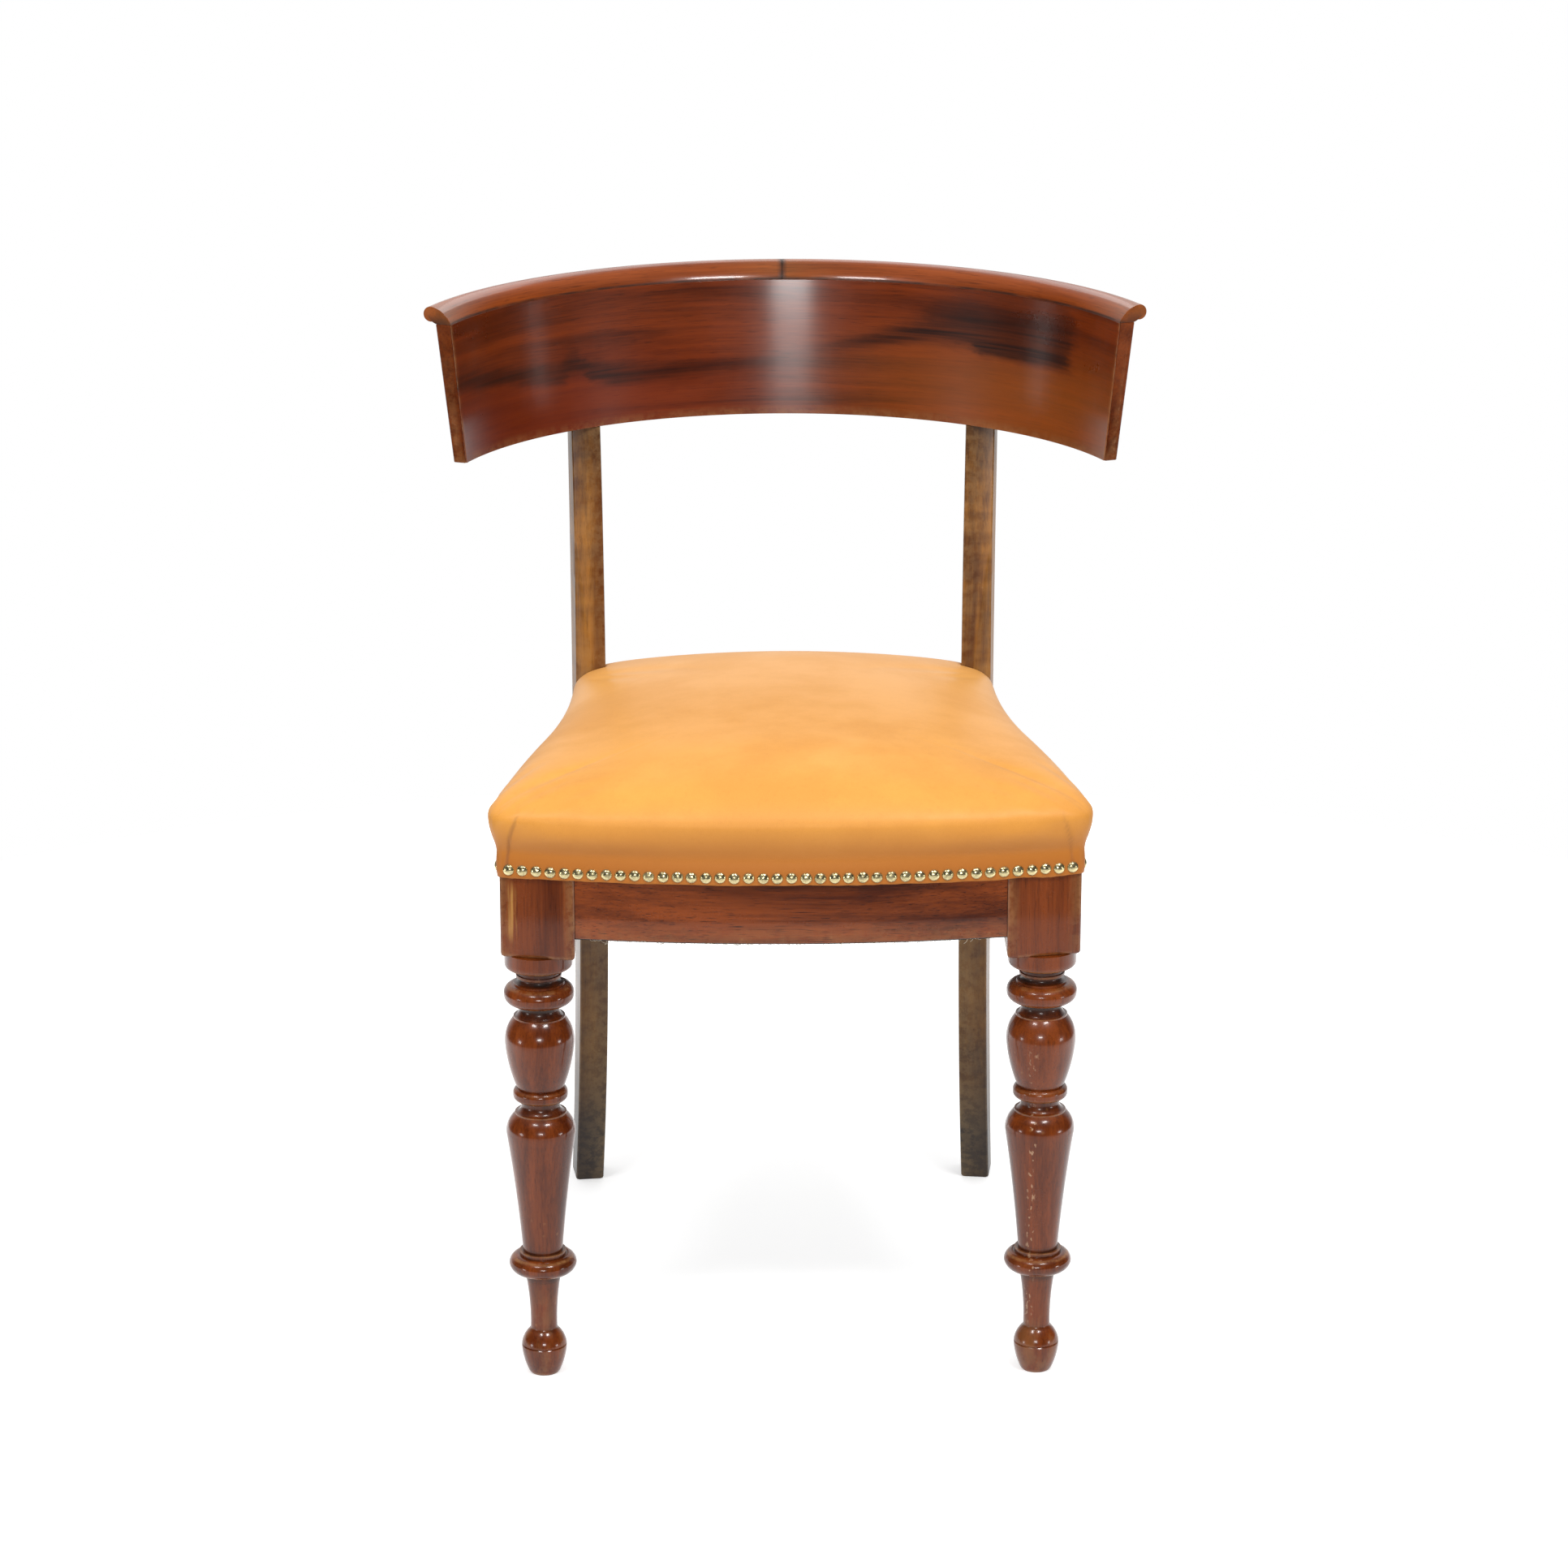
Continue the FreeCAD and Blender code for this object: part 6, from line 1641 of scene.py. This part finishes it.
def make_webbing(cloths):
    """Interlaced jute straps. Returns the places and directions of their tacks."""
    width, thick = 50.0, 1.5
    jute = cloth_finish("Jute webbing", cloths.jute, (0.26, 0.19, 0.1), 700.0, 0.7)
    inner_half = POST_CENTRE_X - POST_HALF - width / 2 - 5
    columns = [inner_half * (2 * i / 3 - 1) for i in range(4)]
    first, last = BLOCK_REAR_Y + width / 2 + 5, POST_FRONT_Y - width / 2 - 5
    rows = [first + (last - first) * i / 3 for i in range(4)]

    def height(at, crossings, parity):
        """Middle height of a strap at a place along it: over and under in turn."""
        level = 0.0
        for k, crossing in enumerate(crossings):
            reach = np.clip(1 - (abs(at - crossing) - width / 2) / 8, 0, 1)
            level += (1 if (k + parity) % 2 else -1) * reach * reach * (3 - 2 * reach)
        return level

    def strap(start, stop, centre, lengthwise, parity, z):
        rings = []
        for at in np.linspace(start, stop, 90):
            mid = z + 0.7 * height(at, rows if lengthwise else columns, parity)
            ring = []
            for across, up in ((-1, -1), (-0.5, -1), (0, -1), (0.5, -1), (1, -1), (1, 1), (0.5, 1), (0, 1),
                               (-0.5, 1), (-1, 1)):
                side = centre + across * (width / 2 - 0.3 * abs(up))
                level = mid + up * (thick / 2 - 0.06)
                ring.append([side, at, level] if lengthwise else [at, side, level])
            rings.append(ring)
        return lofted("strap", rings, smooth_angle=60)

    middle_low, middle_high = RAIL_TOP + 0.76, RAIL_TOP + 2.24
    lengthwise = [strap(bow_y(abs(x) + width / 2) + 5, REAR_RAIL_OUTER_Y - 5, x, True, i, middle_low + 0.7)
                  for i, x in enumerate(columns)]
    crosswise = []
    for i, y in enumerate(rows):
        half = min(side_x(y + width / 2), side_x(min(y + width / 2, POST_FRONT_Y))) - 5
        crosswise.append(strap(-half, half, y, False, i + 1, middle_high - 0.7))
    for name, meshes in (("webbing_lengthwise", lengthwise), ("webbing_crosswise", crosswise)):
        obj = new_object(name, meshes[0])
        for mesh in meshes[1:]:
            joined_mesh(obj, mesh)
        finished(obj, jute, [name])
    tacks = []
    steps = (-19.0, 0.0, 19.0)
    for x in columns:
        front = bow_y(abs(x) + width / 2) + 10
        tacks += [(x + step, y) for step in steps for y in (front, REAR_RAIL_OUTER_Y - 10)]
    for y in rows:
        half = side_x(y + width / 2) - 10
        tacks += [(x, y + step) for step in steps for x in (-half, half)]
    return [(np.array([x, y, RAIL_TOP + 3.0]), np.array([0.0, 0.0, 1.0])) for x, y in tacks]


def make_platform(cloths, metal):
    """Webbing, hessian, the cloth under the frame, their tacks and the threads that hang below."""
    blued = metal_finish("Blued steel", metal.blued, (0.02, 0.018, 0.02), 0.4, 0.4)
    tacks = make_webbing(cloths)
    stud_row("webbing_tacks", tacks, 3.0, 0.8, blued, 31, 10, 6)
    hessian = cloth_finish("Hessian", cloths.hessian, (0.25, 0.19, 0.12), 450.0, 0.6)
    cloth_sheet("hessian_platform", -1.5, STUFFING_BOTTOM, 0.75, 0.0, hessian,
                0.3)
    bottom = cloth_finish("Bottom cloth", cloths.bottom, tuple(c * 0.35 for c in cloths.bottom), 1100.0, 0.3)
    ring = cloth_sheet("bottom_cloth", -3.0, RAIL_BOTTOM - 0.05, 0.7, 3.0, bottom,
                       5.1)
    half = BLOCK_INNER_X - 6
    under = [(x, bow_y(abs(x), -9)) for x in np.linspace(-half, half, 8)]
    under += [(s * side_x(y, -9), y) for y in np.linspace(45.5, 320, 7) for s in (-1, 1)]
    rear_half = POST_CENTRE_X - POST_HALF - 18
    under += [(x, REAR_RAIL_OUTER_Y - 9) for x in np.linspace(-rear_half, rear_half, 7)]
    places = [(np.array([x, y, RAIL_BOTTOM - 0.7]), np.array([0.0, 0.0, -1.0])) for x, y in under]
    stud_row("bottom_cloth_tacks", places, 3.0, 0.9, blued, 41, 12, 6)
    fray = [p for p in ring if p[1] < 0 and abs(p[0]) < BLOCK_INNER_X - 4]
    line = np.array(sorted(fray, key=lambda p: p[0]))
    spots = []
    for k in range(cloths.threads):
        along = k + 0.9 * noise.noise(Vector((k * 0.73, 2.1, 0)))
        x = np.interp(along, [0, cloths.threads - 1], [line[0][0], line[-1][0]])
        inside = 2.6 + 3 * abs(noise.noise(Vector((k * 1.9, 0, 4))))
        spots.append([x, bow_y(abs(x), -inside), RAIL_BOTTOM - 0.35])
    base = new_mesh("loose_threads", place(spots))
    mesh = grown("loose_threads", base, group_named("threads"), {
        "Length": cloths.thread_length, "Thickness": 0.00022, "Seed": 5,
        "Finish": cloth_finish("Loose thread", cloths.thread, (0.3, 0.24, 0.16), 2500.0, 0.3)})
    finished(new_object("loose_threads", tidy(mesh, 60)))


# Stage

WHITE = (1, 1, 1, 1)
FLOOR_RADIUS = 1.35
FLOOR_SIDES = 96


def make_floor(stage):
    """Round pale floor that fades into the surround."""
    angles = np.linspace(0, 2 * math.pi, FLOOR_SIDES + 1)[:-1]
    ring = [(FLOOR_RADIUS * math.cos(a), FLOOR_RADIUS * math.sin(a), 0) for a in angles]
    floor = new_object("floor", new_mesh("floor", ring, [range(FLOOR_SIDES)]))
    material, tree = new_material("Pale floor")
    here = object_place(tree)
    grit = clouds(tree, here, 40.0, 4.0)
    shade = mix_colour(tree, times(tree, grit, 0.03), colour(stage.floor), (0.8, 0.82, 0.86, 1))
    diffuse = put(tree, "ShaderNodeBsdfDiffuse", {"Color": shade})
    path = put(tree, "ShaderNodeLightPath").node.outputs
    seen = plus(tree, path["Is Camera Ray"], path["Is Glossy Ray"])
    seen = plus(tree, seen, path["Is Transmission Ray"], clamp=True)
    away = put(tree, "ShaderNodeVectorMath", {0: here}, out="Value", operation="LENGTH")
    level = remap(tree, away, 0.45, 0.95, stage.floor_lift, 1.0)
    ahead = times(tree, remap(tree, split(tree, here)[1], -0.25, -0.8), path["Is Glossy Ray"])
    dark = times(tree, ahead, stage.room_dark)
    level = times(tree, level, minus(tree, 1.0, dark))
    strength = times(tree, seen, level)
    lift = put(tree, "ShaderNodeEmission", {"Color": WHITE, "Strength": strength})
    both = put(tree, "ShaderNodeAddShader", {0: diffuse, 1: lift})
    put(tree, "ShaderNodeOutputMaterial", {"Surface": both})
    floor.data.materials.append(material)


def make_surround(stage):
    """White surround. Reflections show a darker room behind the viewer."""
    world = bpy.data.worlds.new("White surround")
    bpy.context.scene.world = world
    world.use_nodes = True
    tree = world.node_tree
    tree.nodes.clear()
    path = put(tree, "ShaderNodeLightPath").node.outputs
    seen = plus(tree, path["Is Camera Ray"], path["Is Transmission Ray"], clamp=True)
    _, ahead, up = split(tree, put(tree, "ShaderNodeTexCoord", out=0))
    overhead = times_plus(tree, remap(tree, up, 0.45, 0.95), -0.35, 1.0)
    room = times(tree, remap(tree, ahead, 0.85, 0.35), stage.room_dark)
    room = times(tree, room, overhead)
    mirrored = times(tree, path["Is Glossy Ray"], minus(tree, 1.0, room))
    shown = plus(tree, seen, mirrored, clamp=True)
    either = plus(tree, seen, path["Is Glossy Ray"], clamp=True)
    ceiling = remap(tree, up, -0.2, 0.85, 0.22, 1.05)
    lit = times(tree, ceiling, stage.surround)
    plain = times(tree, minus(tree, 1.0, either), lit)
    strength = plus(tree, shown, plain)
    light = put(tree, "ShaderNodeBackground", {"Color": WHITE, "Strength": strength})
    put(tree, "ShaderNodeOutputWorld", {"Surface": light})


def make_lamps(stage):
    """Soft rectangular lamps that the camera doesn't see."""
    for name, at, aim_z, width, height, power in (
            ("Lamp above right", (0.85, -1.6, 2.8), 0.35, 0.7, 0.3, stage.key),
            ("Lamp above left", (-0.95, -1.6, 2.7), 0.35, 0.6, 0.26, stage.fill),
            ("Window ahead", (-0.12, -3.3, 1.0), 0.8, 0.7, 0.22, stage.window),
            ("Lamp at the right", (2.3, -1.15, 0.17), 0.5, 0.4, 0.26, stage.sides),
            ("Lamp at the left", (-2.3, -1.15, 0.17), 0.5, 0.4, 0.26, stage.sides),
            ("Lamp behind", (0.2, 2.2, 2.4), 0.5, 1.6, 1.0, stage.rim)):
        data = bpy.data.lights.new(name, "AREA")
        data.shape = "RECTANGLE"
        data.size, data.size_y = width, height
        data.energy = power
        lamp = bpy.data.objects.new(name, data)
        lamp.location = at
        lamp.rotation_euler = (Vector((0, 0, aim_z)) - Vector(at)).to_track_quat("-Z", "Y").to_euler()
        lamp.visible_camera = False
        bpy.context.scene.collection.objects.link(lamp)


def make_camera(stage):
    data = bpy.data.cameras.new("Viewer")
    data.lens = stage.lens
    data.sensor_width = 36.0
    camera = bpy.data.objects.new("Viewer", data)
    camera.location = (-0.0596, -3.6719, 1.537)
    camera.rotation_euler = (math.radians(73.0), 0, math.radians(-0.9))
    bpy.context.scene.collection.objects.link(camera)
    bpy.context.scene.camera = camera


def make_stage(stage):
    """Pale floor, white surround, soft lamps and the camera at the viewer's place."""
    bpy.context.scene.view_settings.view_transform = "Standard"
    make_floor(stage)
    make_surround(stage)
    make_lamps(stage)
    make_camera(stage)


# Settings, operators and panel

def shade(name, description, default):
    return bpy.props.FloatVectorProperty(name=name, description=description, default=default, size=3, min=0.0,
                                         max=1.0, subtype="COLOR")


def length(name, description, default):
    return bpy.props.FloatProperty(name=name, description=description, default=default, min=0.0,
                                   unit="LENGTH")


def number(name, description, default, highest=1000.0):
    return bpy.props.FloatProperty(name=name, description=description, default=default, min=0.0, max=highest)


class KlismosWood(bpy.types.PropertyGroup):
    """Colours and gloss of the woods"""
    mahogany_pale: shade("Mahogany", "Lighter wood between the dark bands", (0.205, 0.042, 0.006))
    mahogany_dark: shade("Mahogany bands", "Darker bands of the mahogany", (0.05, 0.0075, 0.0012))
    mahogany_worn: shade("Mahogany worn", "Bare wood on rubbed arrises", (0.3, 0.135, 0.045))
    birch_pale: shade("Birch", "Lighter flames of the stained birch", (0.33, 0.135, 0.02))
    birch_dark: shade("Birch bands", "Darker parts of the stained birch", (0.07, 0.018, 0.0025))
    birch_worn: shade("Birch worn", "Bare birch on rubbed arrises", (0.4, 0.26, 0.12))
    pine_pale: shade("Pine", "Sawn pine of the inner blocks", (0.6, 0.42, 0.22))
    pine_dark: shade("Pine bands", "Late wood of the pine", (0.4, 0.22, 0.09))
    polish: number("Polish", "Roughness of the french polish", 0.2, 1.0)
    segments: bpy.props.IntProperty(name="Turning steps", description="Faces round a turned leg", default=72,
                                    min=16, max=128)
    crest_segments: bpy.props.IntProperty(name="Crest steps", description="Faces along the crest rail",
                                          default=160, min=32, max=320)


class KlismosLeather(bpy.types.PropertyGroup):
    """Colours and form of the leather"""
    leather_pale: shade("Leather", "Body colour of the hide", (0.83, 0.375, 0.062))
    # Down the front this tone is partly deeper dye and partly painted shade
    leather_deep: shade("Leather depths", "Deeper tone in the mottling and down the front",
                        (0.4, 0.118, 0.006))
    # Painted light: the colour that the leather is made paler with towards the back
    leather_painted_light: shade("Leather crown", "Paler tone towards the back", (0.86, 0.455, 0.16))
    leather_roughness: number("Sheen", "Roughness of the leather", 0.42, 1.0)
    pebbles: number("Pebbles", "Grain cells in a metre", 900.0, 5000.0)
    swell: length("Swell", "Most that the stuffing pushes the cover out", 0.003)


class KlismosMetal(bpy.types.PropertyGroup):
    """Nails, tacks and screws"""
    brass_bright: shade("Brass", "Crowns of the nails", (0.66, 0.57, 0.31))
    # This colour also paints the shade round the rims of the nails
    brass_dark: shade("Brass tarnish", "Rims of the nails", (0.03, 0.018, 0.005))
    brass_roughness: number("Brass roughness", "Roughness of the crowns", 0.22, 1.0)
    steel: shade("Steel", "Screws", (0.5, 0.5, 0.5))
    blued: shade("Blued steel", "Tacks", (0.08, 0.09, 0.12))
    nail_radius: length("Nail radius", "Half the width of a nail head", 0.00475)
    nail_height: length("Nail height", "Rise of a nail head", 0.003)
    nail_pitch: length("Nail pitch", "Distance from nail to nail", 0.01075)


class KlismosCloth(bpy.types.PropertyGroup):
    """Webbing, hessian and threads"""
    jute: shade("Jute", "Webbing", (0.5, 0.37, 0.2))
    hessian: shade("Hessian", "Cloth on the webbing", (0.48, 0.36, 0.2))
    bottom: shade("Bottom cloth", "Cloth under the frame", (0.05, 0.05, 0.052))
    thread: shade("Thread", "Loose threads under the front", (0.72, 0.64, 0.5))
    threads: bpy.props.IntProperty(name="Threads", description="Loose threads under the front rail",
                                   default=150, min=0, max=600)
    thread_length: length("Thread length", "Longest loose thread", 0.006)


class KlismosStage(bpy.types.PropertyGroup):
    """Floor, lamps and camera"""
    floor: shade("Floor", "Colour of the floor", (0.78, 0.78, 0.78))
    floor_lift: number("Floor lift", "Light that the floor adds where it is seen", 0.42)
    surround: number("Surround", "Light from the white surround", 0.9)
    room_dark: number("Dark room", "How dark the room behind the viewer mirrors", 0.96, 1.0)
    key: number("Right lamp", "Power of the lamp above right, in watts", 31.0)
    fill: number("Left lamp", "Power of the lamp above left, in watts", 20.0)
    window: number("Window", "Power of the window ahead, in watts", 24.0)
    sides: number("Side lamps", "Power of each lamp at the side, in watts", 5.0)
    rim: number("Rear lamp", "Power of the lamp behind, in watts", 8.0)
    lens: bpy.props.FloatProperty(name="Lens", description="Focal length", default=111.8, min=10.0,
                                  max=400.0, unit="CAMERA")


class KLISMOS_OT_crest_rail(bpy.types.Operator):
    """Spin the crest board, its face veneer and the rolled top"""
    bl_idname = "klismos.crest_rail"
    bl_label = "Crest rail"

    def execute(self, context):
        make_crest_rail(context.scene.klismos_wood, context.scene.klismos_wood.crest_segments)
        return {"FINISHED"}


class KLISMOS_OT_front_legs(bpy.types.Operator):
    """Turn the two front legs and set their blocks on them"""
    bl_idname = "klismos.front_legs"
    bl_label = "Front legs"

    def execute(self, context):
        make_front_legs(context.scene.klismos_wood, context.scene.klismos_wood.segments)
        return {"FINISHED"}


class KLISMOS_OT_rear_posts(bpy.types.Operator):
    """Saw the two rear posts with their facets"""
    bl_idname = "klismos.rear_posts"
    bl_label = "Rear posts"

    def execute(self, context):
        make_rear_posts(context.scene.klismos_wood)
        return {"FINISHED"}


class KLISMOS_OT_seat_frame(bpy.types.Operator):
    """Make the four seat rails and finish the corner blocks"""
    bl_idname = "klismos.seat_frame"
    bl_label = "Seat frame"

    def execute(self, context):
        make_seat_frame(context.scene.klismos_wood)
        return {"FINISHED"}


class KLISMOS_OT_fixings(bpy.types.Operator):
    """Finish the screws and their wooden plugs"""
    bl_idname = "klismos.fixings"
    bl_label = "Screws and plugs"

    def execute(self, context):
        make_fixings(context.scene.klismos_wood, context.scene.klismos_metal)
        return {"FINISHED"}


class KLISMOS_OT_leather(bpy.types.Operator):
    """Stretch the leather over the stuffing and fold its corners"""
    bl_idname = "klismos.leather"
    bl_label = "Leather seat"

    def execute(self, context):
        make_leather(context.scene.klismos_leather, context.scene.klismos_metal)
        return {"FINISHED"}


class KLISMOS_OT_nails(bpy.types.Operator):
    """Drive the rows of brass nails"""
    bl_idname = "klismos.nails"
    bl_label = "Nails"

    def execute(self, context):
        make_nails(context.scene.klismos_metal)
        return {"FINISHED"}


class KLISMOS_OT_platform(bpy.types.Operator):
    """Lay the webbing and cloths with their tacks and loose threads"""
    bl_idname = "klismos.platform"
    bl_label = "Webbing and cloths"

    def execute(self, context):
        make_platform(context.scene.klismos_cloth, context.scene.klismos_metal)
        return {"FINISHED"}


class KLISMOS_OT_stage(bpy.types.Operator):
    """Set the floor, the lamps and the camera"""
    bl_idname = "klismos.stage"
    bl_label = "Stage"

    def execute(self, context):
        make_stage(context.scene.klismos_stage)
        return {"FINISHED"}


STEPS = ("crest_rail", "front_legs", "rear_posts", "seat_frame", "fixings", "leather", "nails", "platform",
         "stage")
SETTINGS = {"klismos_wood": KlismosWood, "klismos_leather": KlismosLeather, "klismos_metal": KlismosMetal,
            "klismos_cloth": KlismosCloth, "klismos_stage": KlismosStage}


class KLISMOS_PT_chair(bpy.types.Panel):
    """The chair's settings and the steps that build it"""
    bl_idname = "KLISMOS_PT_chair"
    bl_label = "Klismos Chair"
    bl_space_type = "VIEW_3D"
    bl_region_type = "UI"
    bl_category = "Chair"

    def draw(self, context):
        column = self.layout.column()
        for step in STEPS:
            column.operator("klismos." + step)
        for name, kind in SETTINGS.items():
            column.label(text=kind.__doc__)
            for key in kind.__annotations__:
                column.prop(getattr(context.scene, name), key)


CLASSES = (*SETTINGS.values(), KLISMOS_OT_crest_rail, KLISMOS_OT_front_legs, KLISMOS_OT_rear_posts,
           KLISMOS_OT_seat_frame, KLISMOS_OT_fixings, KLISMOS_OT_leather, KLISMOS_OT_nails,
           KLISMOS_OT_platform, KLISMOS_OT_stage, KLISMOS_PT_chair)


def register():
    for one in CLASSES:
        bpy.utils.register_class(one)
    for name, kind in SETTINGS.items():
        setattr(bpy.types.Scene, name, bpy.props.PointerProperty(type=kind))


def unregister():
    for name in SETTINGS:
        delattr(bpy.types.Scene, name)
    for one in reversed(CLASSES):
        bpy.utils.unregister_class(one)


def clear_start_objects():
    """Only the packed chair stays in the scene."""
    kept = {*frame["nodes"].values(), *frame["bodies"].values()}
    for obj in [o for o in bpy.data.objects if o not in kept]:
        bpy.data.objects.remove(obj)


def main():
    register()
    clear_start_objects()
    for step in STEPS:
        getattr(bpy.ops.klismos, step)()


if __name__ == "__main__":
    main()
